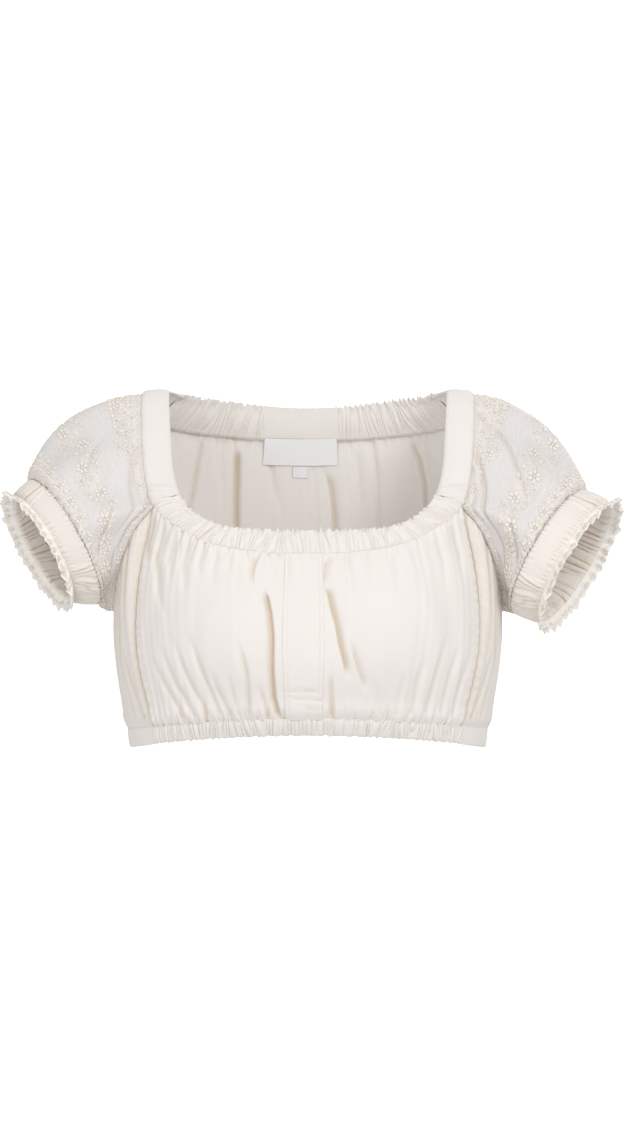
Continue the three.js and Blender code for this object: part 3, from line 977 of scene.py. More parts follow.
@dataclass(frozen=True)
class Cloth:
    """A cut piece of cloth.

    Attributes:
        name: The piece's name.
        cells: How many cells its grid has across and down.
        cut: The size that it was cut to, in millimetres.
        held: How it is held; it is not used.
        rests_on: What it hangs from; it is not used.
        slot: The name of its material slot; it is not used.
        nodes: The CAD nodes that it stands for.
        thick: Its thickness in millimetres.
        tube: Whether its two sides are sewn together.
        share: The cut's area as a share of its width times its length; it is not used.
    """

    name: str
    cells: tuple[int, int]
    cut: Pair
    held: Held
    rests_on: tuple[str, ...] = ()
    slot: str = "cotton"
    nodes: tuple[str, ...] = ()
    thick: float = 0.5
    tube: bool = False
    share: float = 1.0

    def lay(
        self, surface: Surface, finish: Finish, crease: Shading | None = None,
        worked: Shading | None = None,
    ) -> Piece:
        """Args:
            surface: Where it lies, from shares across and down.
            finish: What it is made of.
            crease: How far in a crease each point is, from 0 to 1, which sets its painted shade.
            worked: How densely the cloth is embroidered at each point, from 0 to 1.

        Returns:
            The finished piece.
        """
        bm = bmesh.new()
        bm.loops.layers.uv.new("cut")
        layers = [(bm.verts.layers.float.new("crease"), crease)]
        if worked:
            layers.append((bm.verts.layers.float.new("worked"), worked))
        across, down = self.cells
        bmesh.ops.create_grid(bm, x_segments=across, y_segments=down, size=0.5, calc_uvs=True)
        u, v = (np.array([vert.co[:2] for vert in bm.verts]) + 0.5).T
        points = surface(u, v, 0.0)
        for layer, shading in layers:
            if shading:
                for vert, value in zip(bm.verts, np.clip(shading(u, v), 0, 1)):
                    vert[layer] = value
        place_points(bm.verts, points)
        turn_outwards(bm, surface, u, v)
        if self.tube:
            bmesh.ops.remove_doubles(bm, verts=bm.verts, dist=SAME_POINT)
        made = into_object(self.name, bm)
        self.size_pattern(made)
        shell = made.modifiers.new("cloth thickness", "SOLIDIFY")
        shell.thickness, shell.offset = self.thick * MM, -1
        dress(made, finish, self.nodes)
        return made

    def size_pattern(self, made: Piece) -> None:
        """Stretches the weave's coordinates over the cut, in metres."""
        layer = made.data.uv_layers["cut"].data
        flat = np.empty(2 * len(layer), np.float32)
        layer.foreach_get("uv", flat)
        flat = (flat.reshape(-1, 2) * np.array(self.cut) * MM).ravel()
        layer.foreach_set("uv", flat.astype(np.float32))


def two_layers(w: Array) -> tuple[Array, Array]:
    """Follows a folded band over its fold: the share of its depth, and 1 outside or -1 inside."""
    return np.sin(math.pi * w), np.where(w < 0.5, 1.0, -1.0)


@dataclass(frozen=True)
class Stitching:
    """Rows of stitches along seams.

    Attributes:
        name: The piece's name.
        length: A stitch's length in millimetres.
        gap: The gap between two.
        thick: The thread's thickness.
    """

    name: str
    length: float = 2.1
    gap: float = 0.7
    thick: float = 0.34

    def sew(
        self, runs: list[tuple[Surface, list[Pair]]], finish: Finish
    ) -> Piece:
        """Sews rows of stitches.

        Args:
            runs: A surface and the shares that the row runs through on it, for each row.
            finish: The thread.

        Returns:
            The stitches, as one piece.
        """
        rows = [self.row(surface, path) for surface, path in runs]
        starts, ends, outs = (np.vstack(part) for part in zip(*rows))
        shape = bmesh.new()
        bmesh.ops.create_cone(
            shape, cap_ends=True, segments=5, radius1=0.5, radius2=0.5, depth=1, calc_uvs=False
        )
        bm, points = repeat(shape, len(starts))
        along = ends - starts
        across = unit(np.cross(along, outs)) * self.thick
        up = unit(np.cross(across, along)) * self.thick
        x, y, z = (points[None, :, k, None] for k in range(3))
        middle = ((starts + ends) / 2)[:, None, :]
        placed = middle + x * across[:, None, :] + y * up[:, None, :] + z * along[:, None, :]
        place_shapes(bm, placed.reshape(-1, 3))
        return dress(into_object(self.name, bm), finish)

    def row(
        self, surface: Surface, path: list[Pair]
    ) -> tuple[Array, Array, Array]:
        """Finds the stitches of one row.

        Args:
            surface: The cloth that it lies on.
            path: The shares that it runs through.

        Returns:
            Where each stitch starts and ends, and the way out from the cloth.
        """
        corners = np.array(path, float)
        steps = np.linspace(0, len(corners) - 1, 60 * (len(corners) - 1) + 1)
        known = np.arange(len(corners))
        u, v = (np.interp(steps, known, corners[:, k]) for k in (0, 1))
        points = surface(u, v, 0.1)
        lengths = np.concatenate([[0], np.cumsum(np.linalg.norm(np.diff(points, axis=0), axis=1))])
        starts = np.arange(self.gap, lengths[-1] - self.length, self.length + self.gap)
        first, last, higher = (
            surface(np.interp(at, lengths, u), np.interp(at, lengths, v), out)
            for at, out in ((starts, 0.1), (starts + self.length, 0.1), (starts, 1.1))
        )
        return first, last, higher - first


FRONT_FOLDS = (
    # Beside the centre strip, from the casing to the hem.
    Fold(((-36, -133), (-40, -140), (-42.5, -150), (-41, -164)), 2.2, 3.4, (0.1, 0.6), 0.55),
    Fold(
        (
            (-34, -160), (-30.5, -168), (-28, -180), (-26.4, -197), (-26.6, -222), (-25, -243),
            (-21, -258),
        ),
        2.5, 4.8, (0.1, 0.0), 0.6,
    ),
    Fold(((-16, -134), (-14.5, -150), (-12.5, -166)), 1.8, 1.6, (0.0, 0.6)),
    Fold(((18, -136), (13.5, -143), (13, -150), (12.4, -162)), 1.9, 2.8, (0.1, 0.4), -0.5),
    Fold(
        ((12.5, -157), (16, -165), (18.5, -176), (21.8, -187), (24.5, -202), (28, -216), (31, -232)),
        2.3, 4.6, (0.12, 0.2), -0.55,
    ),
    Fold(((31, -198), (35, -209), (39, -222), (46, -243)), 2.1, 3.0, (0.3, 0.3), -0.5),
    Fold(((18.6, -220), (17.6, -232), (18.2, -243), (18.6, -258)), 1.9, 3.0, (0.4, 0.0)),
    Fold(((-56, -197), (-50, -211), (-46.5, -226), (-44.7, -257)), 2.9, 2.4, (0.4, 0.0), 0.4),
    Fold(((50, -226), (54, -242), (56, -258)), 2.4, 1.7, (0.5, 0.0)),
    Fold(((-62, -222), (-58, -240), (-53, -258)), 2.2, 1.5, (0.5, 0.0)),
    # Arcs from the casing over the wearer's right side, longest at the outside.
    Fold(((-119, -104), (-126, -125), (-127, -150)), 2.8, 2.8, (0.0, 0.5)),
    Fold(((-111, -112), (-119, -137), (-116, -168), (-104, -192)), 3.0, 2.5, (0.0, 0.6), -0.25),
    Fold(((-101, -116), (-108, -138), (-106, -166)), 2.8, 2.0, (0.0, 0.7), -0.25),
    Fold(((-90, -121), (-96.5, -142), (-95, -178)), 3.0, 1.9, (0.0, 0.7), -0.25),
    Fold(((-79, -125), (-84.5, -142), (-82, -158)), 2.6, 1.6, (0.0, 0.7), -0.2),
    Fold(((-68, -128), (-73.5, -147), (-71, -170)), 2.8, 1.5, (0.0, 0.8), -0.2),
    Fold(((-57, -130), (-61, -144), (-59, -154)), 2.4, 1.4, (0.0, 0.7)),
    # Fans that rise from the hem at both sides.
    Fold(((-94, -190), (-82, -222), (-67.8, -256)), 2.5, 2.1, (0.5, 0.0), 0.2),
    Fold(((-106, -194), (-93, -228), (-77.4, -257)), 2.4, 2.1, (0.5, 0.0), 0.2),
    Fold(((-116, -200), (-103, -232), (-87, -258)), 2.3, 2.0, (0.5, 0.0), 0.2),
    Fold(((-124, -208), (-112, -233), (-97, -259)), 2.2, 1.9, (0.5, 0.0)),
    Fold(((-76, -220), (-69.7, -238), (-60, -257)), 2.5, 2.0, (0.5, 0.0)),
    Fold(((-38, -232), (-34, -246), (-31, -258)), 2.2, 2.4, (0.5, 0.0)),
    Fold(((110, -188), (100, -224), (91.6, -256)), 2.4, 2.0, (0.5, 0.0), -0.2),
    Fold(((120, -198), (111, -226), (103.1, -256)), 2.3, 1.9, (0.5, 0.0), -0.2),
    Fold(((128, -206), (119, -236), (113, -258)), 2.2, 1.8, (0.5, 0.0)),
    Fold(((92, -210), (85, -232), (80, -256)), 2.8, 1.9, (0.5, 0.0)),
    Fold(((76, -222), (71, -240), (68, -257)), 2.6, 1.6, (0.5, 0.0)),
    # Faint ones over the wearer's left side.
    Fold(((30, -134), (33, -150), (31, -170)), 2.8, 1.2, (0.0, 0.6)),
    Fold(((45, -132), (49, -152), (47, -174)), 3.0, 1.1, (0.0, 0.6)),
    Fold(((64, -129), (70, -150), (68, -170)), 3.2, 1.2, (0.0, 0.6)),
    Fold(((82, -124), (89, -146), (88, -168)), 3.0, 1.3, (0.0, 0.6)),
    Fold(((98, -118), (106, -140), (107, -166)), 3.0, 1.7, (0.0, 0.6)),
    Fold(((111, -109), (119, -134), (121, -160)), 2.8, 2.2, (0.0, 0.6)),
)
BACK_FOLDS = (
    Fold(
        ((-55.5, -44), (-57, -64), (-57.5, -90), (-58, -150), (-62, -262)), 3.0, -5.6,
        (0.06, 0.2), 0.6,
    ),
    Fold(((13, -62), (18, -78), (20.5, -100), (23, -160), (26, -262)), 2.9, -4.8, (0.08, 0.2), -0.6),
    Fold(((-85, -40), (-90, -60), (-98, -110), (-102, -160)), 2.6, -3.2, (0.06, 0.5), 0.5),
    Fold(((83, -42), (91, -56), (96, -76), (98, -140)), 2.2, -3.6, (0.06, 0.5), -0.5),
    Fold(((54, -42), (57, -70), (60, -150), (63, -262)), 2.8, -2.2, (0.1, 0.2), -0.4),
    Fold(((-31, -50), (-27, -80), (-22, -106)), 3.4, -2.2, (0.2, 0.5)),
    Fold(((-22, -150), (-26, -210), (-24, -262)), 4.0, -2.6, (0.4, 0.1)),
    Fold(((40, -46), (44, -90), (40, -130)), 3.0, -1.8, (0.1, 0.6)),
    Fold(((-70, -42), (-72, -66), (-70, -92)), 2.6, -1.8, (0.0, 0.6)),
    Fold(((0, -180), (3, -220), (2, -262)), 3.6, -2.0, (0.5, 0.1)),
    Fold(((88, -190), (84, -225), (82, -262)), 3.8, -2.6, (0.5, 0.1)),
    Fold(((-86, -196), (-84, -230), (-84, -262)), 3.8, -2.4, (0.5, 0.1)),
    Fold(((44, -200), (42, -235), (44, -262)), 3.2, -1.9, (0.5, 0.1)),
    Fold(((-46, -210), (-43, -240), (-42, -262)), 3.0, -1.8, (0.5, 0.1)),
)
# Side folds: across is the depth from front to back, and down the height.
SIDE_FOLDS = (
    Fold(((-51, -102), (-45, -126), (-47, -160), (-46, -196)), 1.8, 2.4, (0.0, 0.5), 0.4),
    Fold(((-46, -116), (-37, -140), (-37, -176), (-40, -206)), 1.9, 2.0, (0.0, 0.5), 0.4),
    Fold(((-36, -140), (-28, -160), (-29, -196)), 2.2, 1.6, (0.0, 0.5)),
    Fold(((-44, -204), (-47, -230), (-50, -262)), 2.0, 1.8, (0.4, 0.0)),
    Fold(((-34, -214), (-37, -236), (-38, -262)), 2.2, 1.6, (0.4, 0.0)),
    Fold(((-34, -150), (-38, -190), (-30, -240)), 4.0, 2.2, (0.4, 0.4)),
    Fold(((28, -140), (24, -190), (30, -236)), 4.4, 2.0, (0.4, 0.4)),
    Fold(((0, -196), (-6, -226), (-2, -262)), 4.6, 1.8, (0.5, 0.2)),
    Fold(((50, -200), (46, -232), (44, -262)), 3.6, 1.6, (0.5, 0.1)),
)


@dataclass(frozen=True)
class Bodice:
    """The body's cotton panels, gathered between the neckline and the hem.

    Attributes:
        front_wide: The front panel's rough width, in millimetres.
        back_wide: The back panel's.
        side_wide: A side panel's.
        tuck: How deep the cloth dips into a seam.
        tuck_width: How far from the seam it starts to.
        blouse: How far the cloth hangs out over a casing's seam.
        strip: The centre strip's place, as shares across the front panel.
        strip_lift: How far the strip lies above the front panel.
        front_top: The fine and the middling gathers below the front's casing.
        front_foot: Those above its hem.
        back_top: Those below the back's casing.
        back_foot: Those above its hem.
        ripple: How high the puckers beside the long seams stand.
        soft: How high the soft ripples all over a panel stand.
        ripple_seeds: Which ripples the front, the back and the sides have.
    """

    front_wide: float = 280
    back_wide: float = 260
    side_wide: float = 140
    tuck: float = 1.5
    tuck_width: float = 2.4
    blouse: float = 2.6
    strip: Pair = (23 / 52, 28 / 52)
    strip_lift: float = 0.7
    front_top: tuple[Gathers, Gathers] = (
        Gathers(84, 1.6, 12, 11, width=0.28), Gathers(34, 1.3, 24, 12, width=0.22),
    )
    front_foot: tuple[Gathers, Gathers] = (
        Gathers(80, 1.5, 12, 13, width=0.28), Gathers(32, 1.5, 26, 14, width=0.22),
    )
    back_top: tuple[Gathers, Gathers] = (
        Gathers(72, 1.5, 13, 15, width=0.28), Gathers(28, 1.8, 34, 16, width=0.2),
    )
    back_foot: tuple[Gathers, Gathers] = (
        Gathers(66, 1.1, 12, 17), Gathers(26, 1.5, 30, 18, width=0.24),
    )
    ripple: float = 0.45
    soft: float = 0.75
    ripple_seeds: tuple[int, int, int] = (301, 311, 321)

    def build(self) -> list[Piece]:
        """Makes the front, the centre strip, the back and both sides.

        Returns:
            The finished pieces.
        """
        front = Cloth(
            "front_cloth", (416, 110), (370, 148), Held.GATHERED,
            ("neckline_casing_front", "hem_casing_front_cloth"), nodes=("front_panel",),
        )
        strip = Cloth(
            "centre_strip_cloth", (56, 160), (30, 135), Held.HUNG, ("front_cloth",),
            nodes=("front_placket",),
        )
        back = Cloth(
            "back_cloth", (280, 150), (340, 232), Held.GATHERED,
            ("neckline_casing_back", "hem_casing_back_cloth"), nodes=("back_panel",),
        )
        made = [
            front.lay(self.front, COTTON, self.front_crease),
            strip.lay(self.strip_surface, COTTON, self.strip_crease),
            back.lay(self.back, COTTON, self.back_crease),
        ]
        for side in Side:
            cloth = Cloth(
                f"side_cloth_{side.word}", (110, 90), (150, 150), Held.HUNG,
                ("front_cloth", "back_cloth"), nodes=(f"side_panel_{side.word}",), share=0.75,
            )
            made.append(cloth.lay(self.side_surface(side), COTTON, self.side_crease))
        return made

    def seam_dip(self, u: Array, wide: float, height: Array) -> Array:
        """How far the cloth dips and ripples beside its two long seams.

        Args:
            u: Shares across the panel.
            wide: Its rough width.
            height: Heights, which the ripples follow.

        Returns:
            Depths in millimetres.
        """
        away = np.minimum(u, 1 - u) * wide
        place, spread = 4, 4.5
        ripple = np.sin(height * 0.72 + 1.3 * np.sin(height * 0.19)) * bell(away - place, spread)
        return self.tuck * bell(away, self.tuck_width) + self.ripple * ripple

    def hang_over(self, away_top: Array, away_hem: Array) -> Array:
        """How far the cloth hangs out over the seams of its casings."""
        bulge, below, above, tall, dip = 1.7, 6, 6.5, 8, 0.2
        top = bulge * bell(away_top - below, tall)
        hem = self.blouse * bell(away_hem - above, tall) - dip * bell(away_hem, self.tuck_width)
        return top + hem

    def held_in(self, away_top: Array, away_hem: Array) -> Array:
        """How much of a deep fold is left near the seams, where the stitches hold it flat."""
        left_top, free_top, left_hem, free_hem = 0.16, 9, 0.3, 8
        top = lerp(left_top, 1, ease(away_top / free_top))
        return top * lerp(left_hem, 1, ease(away_hem / free_hem))

    def ripples(self, u: Array, v: Array, seed: int) -> Array:
        """Soft ripples that run down a whole panel, strongest by its casings."""
        sway = 0.010 * np.sin(6 * v + 5 * u)
        fine = Uneven(seed, (16, 46)).at(u + sway) * (0.25 + 0.75 * (2 * v - 1) ** 2)
        broad = Uneven(seed + 1, (4, 13)).at(u - 2 * sway) * np.sin(math.pi * v) ** 0.5
        return self.soft * (0.45 * fine + 0.55 * broad)

    def ends(self, path: Callable[[Array, Array], Array], u: Array, points: Array) -> tuple:
        """Distances of a panel's points down from its top seam and up from its hem."""
        top, hem = path(u, np.zeros_like(u)), path(u, np.ones_like(u))
        return top[:, 2] - points[:, 2], points[:, 2] - hem[:, 2]

    def front_press(self, u: Array, v: Array) -> tuple[Array, Array, Array, Array]:
        """The front's middle, how far its folds and gathers press it, and its ends."""
        points = FORM.front(u, v)
        away_top, away_hem = self.ends(FORM.front, u, points)
        right_side = ease((0.56 - u) / 0.1)
        fine, middling = self.front_top
        top = fine.press(u, away_top, 0.75 + 0.25 * right_side)
        top += middling.press(u, away_top, 0.45 + 0.4 * right_side)
        hem = sum(gathers.press(u, away_hem) for gathers in self.front_foot)
        folds = press_all(FRONT_FOLDS, points[:, 0], points[:, 2])
        folds *= self.held_in(away_top, away_hem)
        return points, folds + top + hem, away_top, away_hem

    def on_strip(self, u: Array) -> Array:
        """How far each share lies under the centre strip, from 0 to 1."""
        first, last = self.strip
        return ease((u - first) / 0.012) * ease((last - u) / 0.012)

    def front(self, u: Array, v: Array, out: float) -> Array:
        """The front panel's surface."""
        points, press, away_top, away_hem = self.front_press(u, v)
        press *= 1 - 0.55 * self.on_strip(u)
        lift = out - press - self.seam_dip(u, self.front_wide, points[:, 2])
        lift += self.hang_over(away_top, away_hem) + self.ripples(u, v, self.ripple_seeds[0])
        return points + FORM.facing(points) * column(lift)

    def front_crease(self, u: Array, v: Array) -> Array:
        """How far in a crease each point of the front lies, for its painted shade; the cloth beside its
        long seams gets painted shade too.
        """
        _, press, _, away_hem = self.front_press(u, v)
        seam = 0.5 * bell(np.minimum(u, 1 - u) * self.front_wide, 2.0) * ease(away_hem / 20)
        return np.maximum((press - 1.1) / 4, seam)

    def strip_surface(self, w: Array, v: Array, out: float) -> Array:
        """The centre strip's surface, which lies on the front panel."""
        first, last = self.strip
        u = lerp(first, last, w)
        points, press, away_top, away_hem = self.front_press(u, v)
        edge = np.minimum(w, 1 - w) * 27
        puckers = 0.3 * self.pucker(w, away_hem)
        stitched = 0.3 * bell(edge - 3.0, 0.8) + 0.35 * bell(edge, 0.9)
        lift = out + self.strip_lift - 0.35 * press + puckers - stitched
        lift += self.hang_over(away_top, away_hem) + self.ripples(u, v, self.ripple_seeds[0])
        return points + FORM.facing(points) * column(lift)

    def pucker(self, w: Array, away_hem: Array) -> Array:
        """The puckers across the strip's foot.

        Args:
            w: Shares across the strip.
            away_hem: Distances up from the hem seam, in millimetres.

        Returns:
            Heights from -1 to 1.
        """
        inside = ease((away_hem - 2) / 5) * ease((38 - away_hem) / 18)
        inside *= np.clip(0.55 + 0.6 * Uneven(33, (1, 4)).at(0.4 * w + away_hem / 60), 0, 1.2)
        sway = 1.3 * np.sin(2.1 * w + away_hem * 0.11) + 0.9 * np.sin(away_hem * 0.31 + 2 * w)
        return np.sin(away_hem * 0.95 + 2.6 * w + sway) * inside

    def strip_crease(self, w: Array, v: Array) -> Array:
        """How far in a crease each point of the centre strip lies, for its painted shade."""
        first, last = self.strip
        u = lerp(first, last, w)
        away_hem = self.ends(FORM.front, u, FORM.front(u, v))[1]
        return 0.3 * self.front_crease(u, v) + 0.4 * np.clip(-self.pucker(w, away_hem) - 0.3, 0, 1)

    def back_press(self, u: Array, v: Array) -> tuple[Array, Array, Array, Array]:
        """The back's middle, how far its folds and gathers press it, and its ends."""
        points = FORM.back(u, v)
        away_top, away_hem = self.ends(FORM.back, u, points)
        plain = 1 - 0.75 * ease((u - 0.36) / 0.03) * ease((0.6 - u) / 0.03)
        top = sum(gathers.press(u, away_top, plain) for gathers in self.back_top)
        hem = sum(gathers.press(u, away_hem) for gathers in self.back_foot)
        folds = press_all(BACK_FOLDS, points[:, 0], points[:, 2])
        folds *= self.held_in(away_top, away_hem)
        return points, folds + hem - top, away_top, away_hem

    def back(self, u: Array, v: Array, out: float) -> Array:
        """The back panel's surface."""
        points, press, away_top, away_hem = self.back_press(u, v)
        lift = out - press - self.seam_dip(u, self.back_wide, points[:, 2])
        lift += self.hang_over(away_top, away_hem) + self.ripples(u, v, self.ripple_seeds[1])
        return points + FORM.facing(points) * column(lift)

    def back_crease(self, u: Array, v: Array) -> Array:
        """How far in a crease each point of the back lies, for its painted shade."""
        return (np.abs(self.back_press(u, v)[1]) - 1.1) / 5

    def side_surface(self, side: Side) -> Surface:
        """Makes one side panel's surface."""

        def surface(u: Array, v: Array, out: float) -> Array:
            """The side panel's surface, u from the front seam to the back one."""
            points = FORM.side(u, v)
            away_top, away_hem = self.ends(FORM.side, u, points)
            lift = out - self.seam_dip(u, self.side_wide, points[:, 2])
            lift -= press_all(SIDE_FOLDS, points[:, 1], points[:, 2])
            lift -= 0.6 * bell(away_top, 2.2) + 0.5 * bell(away_hem, 2.4)
            lift += 1.4 * bell(away_hem - 8, 7) + self.ripples(u, v, self.ripple_seeds[2])
            return mirrored(points + FORM.facing(points) * column(lift), side)

        return surface

    def side_crease(self, u: Array, v: Array) -> Array:
        """How far in a crease each point of a side panel lies, for its painted shade; its front seam counts
        too, and the whole panel gets a little.
        """
        points = FORM.side(u, v)
        folds = press_all(SIDE_FOLDS, points[:, 1], points[:, 2])
        seam = 0.5 * bell(u * self.side_wide, 2.5)
        return np.maximum((folds - 0.5) / 3.2, seam) + 0.08


@dataclass(frozen=True)
class NecklineCasing:
    """The neckline's casing: ruched with a small header front and back, plain on the shoulders.

    Attributes:
        channel: Where the elastic's channel starts and ends, as shares of the depth.
        layers: Half the thickness of its two layers at the seam, in millimetres.
        puff: How far more the channel's layers stand apart between their stitches.
        header: How far the header above the elastic sways.
        crown: How far a shoulder band arches outwards.
        blend: The share of a ruched stretch over which it takes on a band's arch.
        round_from: The share of the depth from which the layers close in a round.
        band_rows: The rows of stitches along a band, as shares of its depth.
        front_ribs: The ruching of the front.
        back_ribs: The ruching of the back, nearly flat above the label.
    """

    channel: Pair = (0.1, 0.82)
    layers: float = 0.3
    puff: float = 0.65
    header: float = 1.3
    crown: float = 2.6
    blend: float = 0.06
    round_from: float = 0.9
    band_rows: Pair = (0.84, 0.09)
    front_ribs: Ruching = Ruching(94, 2.0, 41)
    back_ribs: Ruching = Ruching(80, 2.0, 51, smooth=((0.405, 0.635),))

    def build(self) -> list[Piece]:
        """Makes the four stretches of the casing.

        Returns:
            The finished pieces.
        """
        corner, far = FORM.front_corner, FORM.back_corner
        last = 2 * FORM.centre_back - far
        front = Cloth(
            "neckline_casing_front", (760, 30), (330, 42), Held.GATHERED, ("front_cloth",),
            nodes=("neck_casing_front",),
        )
        back = Cloth(
            "neckline_casing_back", (660, 30), (350, 60), Held.GATHERED, ("back_cloth",),
            nodes=("neck_casing_back",),
        )
        made = [
            cloth.lay(self.ruched(first, end, ribs), COTTON, ribs.on_band)
            for cloth, first, end, ribs in (
                (front, -corner, corner, self.front_ribs), (back, far, last, self.back_ribs),
            )
        ]
        for side in Side:
            band = Cloth(
                f"shoulder_band_cloth_{side.word}", (130, 36), (165, 52), Held.STRETCHED,
                (f"sleeve_cloth_{side.word}",), nodes=(f"shoulder_band_{side.word}",),
            )
            made.append(band.lay(self.plain(corner, far, side), COTTON))
        return made

    def ruched(self, first: float, last: float, ribs: Ruching) -> Surface:
        """Makes the surface of a ruched stretch between two neckline rows."""
        start, end = self.channel

        def surface(u: Array, w: Array, out: float) -> Array:
            """The stretch's surface, w from the outer seam over the edge to the inner one."""
            depth, layer = two_layers(w)
            row = lerp(first, last, u)
            seam, edge = FORM.neckline_seam.at(row), FORM.neckline.at(row)
            rib = ribs.rise(u, depth)
            drawn = ribs.strength(u)
            channel = swollen((depth - start) / (end - start))
            before, over, outside = 0.08, 0.2, 0.25
            above = ease((depth - end + before) / over)
            near_ends = 1 - ease(np.minimum(u, 1 - u) / self.blend)
            wander = 3 * Uneven(ribs.seed, (4, 19)).at(u)
            sway = self.header * np.sin(TURN * ribs.count / 2 * u + wander)
            apart = self.layers + channel * (self.puff + rib) + outside * rib * (1 - channel)
            apart *= rounded_end(depth, self.round_from)
            uneven = (0.9 * Uneven(ribs.seed + 7, (30, 75)).at(u) * drawn + 0.5) * above
            middle = lerp(seam, edge, column(depth)) + unit(edge - seam) * column(uneven)
            arch = self.crown * (1 - (2 * depth - 1) ** 4) * near_ends
            lift = layer * (out + apart) + above * sway * drawn + arch
            return middle + FORM.facing(middle) * column(lift)

        return surface

    def plain(self, first: float, last: float, side: Side) -> Surface:
        """Makes the surface of a plain shoulder band."""

        def surface(u: Array, w: Array, out: float) -> Array:
            """The band's surface, w from the outer seam over the edge to the inner one."""
            depth, layer = two_layers(w)
            row = lerp(first, last, u)
            seam, edge = FORM.neckline_seam.at(row), FORM.neckline.at(row)
            arch = self.crown * (1 - (2 * depth - 1) ** 4)
            upper, lower = self.band_rows
            sewn = 0.5 * bell(depth - upper, 0.03) + 0.45 * bell(depth - lower, 0.03)
            bead = 0.55 * bell(depth - 0.95, 0.04) - sewn
            near_ends = bell(u, 0.15) + bell(1 - u, 0.1)
            count, tall = 10, 1.3
            crumple = near_ends * np.abs(np.sin(TURN * count * u + 5 * depth)) ** 0.8 * tall
            soft = 0.7 * Uneven(61, (2, 9)).at(u + 0.05 * depth) * np.sin(math.pi * depth)
            apart = lerp(self.layers, 1.0, ease(depth / 0.14)) + bead + crumple + soft
            apart *= rounded_end(depth, self.round_from)
            middle = lerp(seam, edge, column(depth))
            lift = layer * (out + apart) + arch
            return mirrored(middle + FORM.facing(middle) * column(lift), side)

        return surface


@dataclass(frozen=True)
class HemCasing:
    """The hem's elastic casing, ruched front and back and plain at the sides.

    Attributes:
        layers: Half the thickness of its two layers at the seam, in millimetres.
        puff: How far more its layers stand apart in the middle.
        plain_drop: How far the lower edge of a plain side hangs down.
        side_lap: How far a plain side reaches into the ruched stretches, as an angle.
        round_from: The share of the depth from which the layers close in a round.
        stitch_row: The row of stitches, as a share of the depth.
        front_ribs: The ruching of the front.
        back_ribs: The ruching of the back.
    """

    layers: float = 0.35
    puff: float = 0.85
    plain_drop: float = 1.6
    side_lap: float = 0.011
    round_from: float = 0.88
    stitch_row: float = 0.1
    front_ribs: Ruching = Ruching(88, 1.8, 71, slant=0.8)
    back_ribs: Ruching = Ruching(84, 1.8, 81, slant=0.8)

    def build(self) -> list[Piece]:
        """Makes the four stretches of the casing.

        Returns:
            The finished pieces.
        """
        foot = FORM.seam_foot
        made = []
        for word, start, end, ribs, wide in (
            ("front", foot - math.pi, -foot, self.front_ribs, 350),
            ("back", foot, math.pi - foot, self.back_ribs, 330),
        ):
            cloth = Cloth(
                f"hem_casing_{word}_cloth", (720, 26), (wide, 29), Held.GATHERED,
                (f"{word}_cloth",), nodes=(f"hem_casing_{word}",),
            )
            stretch = self.stretch(start, end, ribs, Side.LEFT)
            made.append(cloth.lay(stretch, COTTON, ribs.on_band))
        for side in Side:
            cloth = Cloth(
                f"hem_side_cloth_{side.word}", (90, 28), (135, 32), Held.STRETCHED,
                (f"side_cloth_{side.word}",), nodes=(f"hem_side_{side.word}",),
            )
            reach = foot + self.side_lap
            made.append(cloth.lay(self.stretch(-reach, reach, None, side), COTTON))
        return made

    def stretch(self, start: float, end: float, ribs: Ruching | None, side: Side) -> Surface:
        """Makes the surface of a stretch between two angles.

        Args:
            start: The angle where it starts.
            end: The angle where it ends.
            ribs: Its ruching, or None where it is plain.
            side: The side that it lies on.

        Returns:
            The surface.
        """

        def surface(u: Array, w: Array, out: float) -> Array:
            """The stretch's surface, w from the outer seam round the hem to the inner one."""
            depth, layer = two_layers(w)
            outside, uneven = 0.2, 0.4
            if ribs:
                rib = ribs.rise(u, depth)
                sag = uneven * Uneven(91, (20, 60)).at(u)
            else:
                rib = np.zeros(u.shape)
                sag = self.plain_drop * np.sin(math.pi * u) ** 0.5
            apart = self.layers + swollen(depth) * (self.puff + rib) + outside * rib
            apart *= rounded_end(depth, self.round_from)
            angle = lerp(start, end, u)
            height = FORM.hem_seam_height(angle) - (FORM.hem_depth + sag) * depth
            middle = FORM.point(angle, height)
            points = middle + FORM.facing(middle) * column(layer * (out + apart))
            return mirrored(points, side)

        return surface


# A sleeve's rough size round the arm and from its seam to the cuff, in millimetres.
ROUND_ARM = 345
DOWN_SLEEVE = 95


def on_sleeve(*shares: Pair) -> tuple[Pair, ...]:
    """Turns shares round and down a sleeve into millimetres."""
    return tuple((ROUND_ARM * s, DOWN_SLEEVE * t) for s, t in shares)


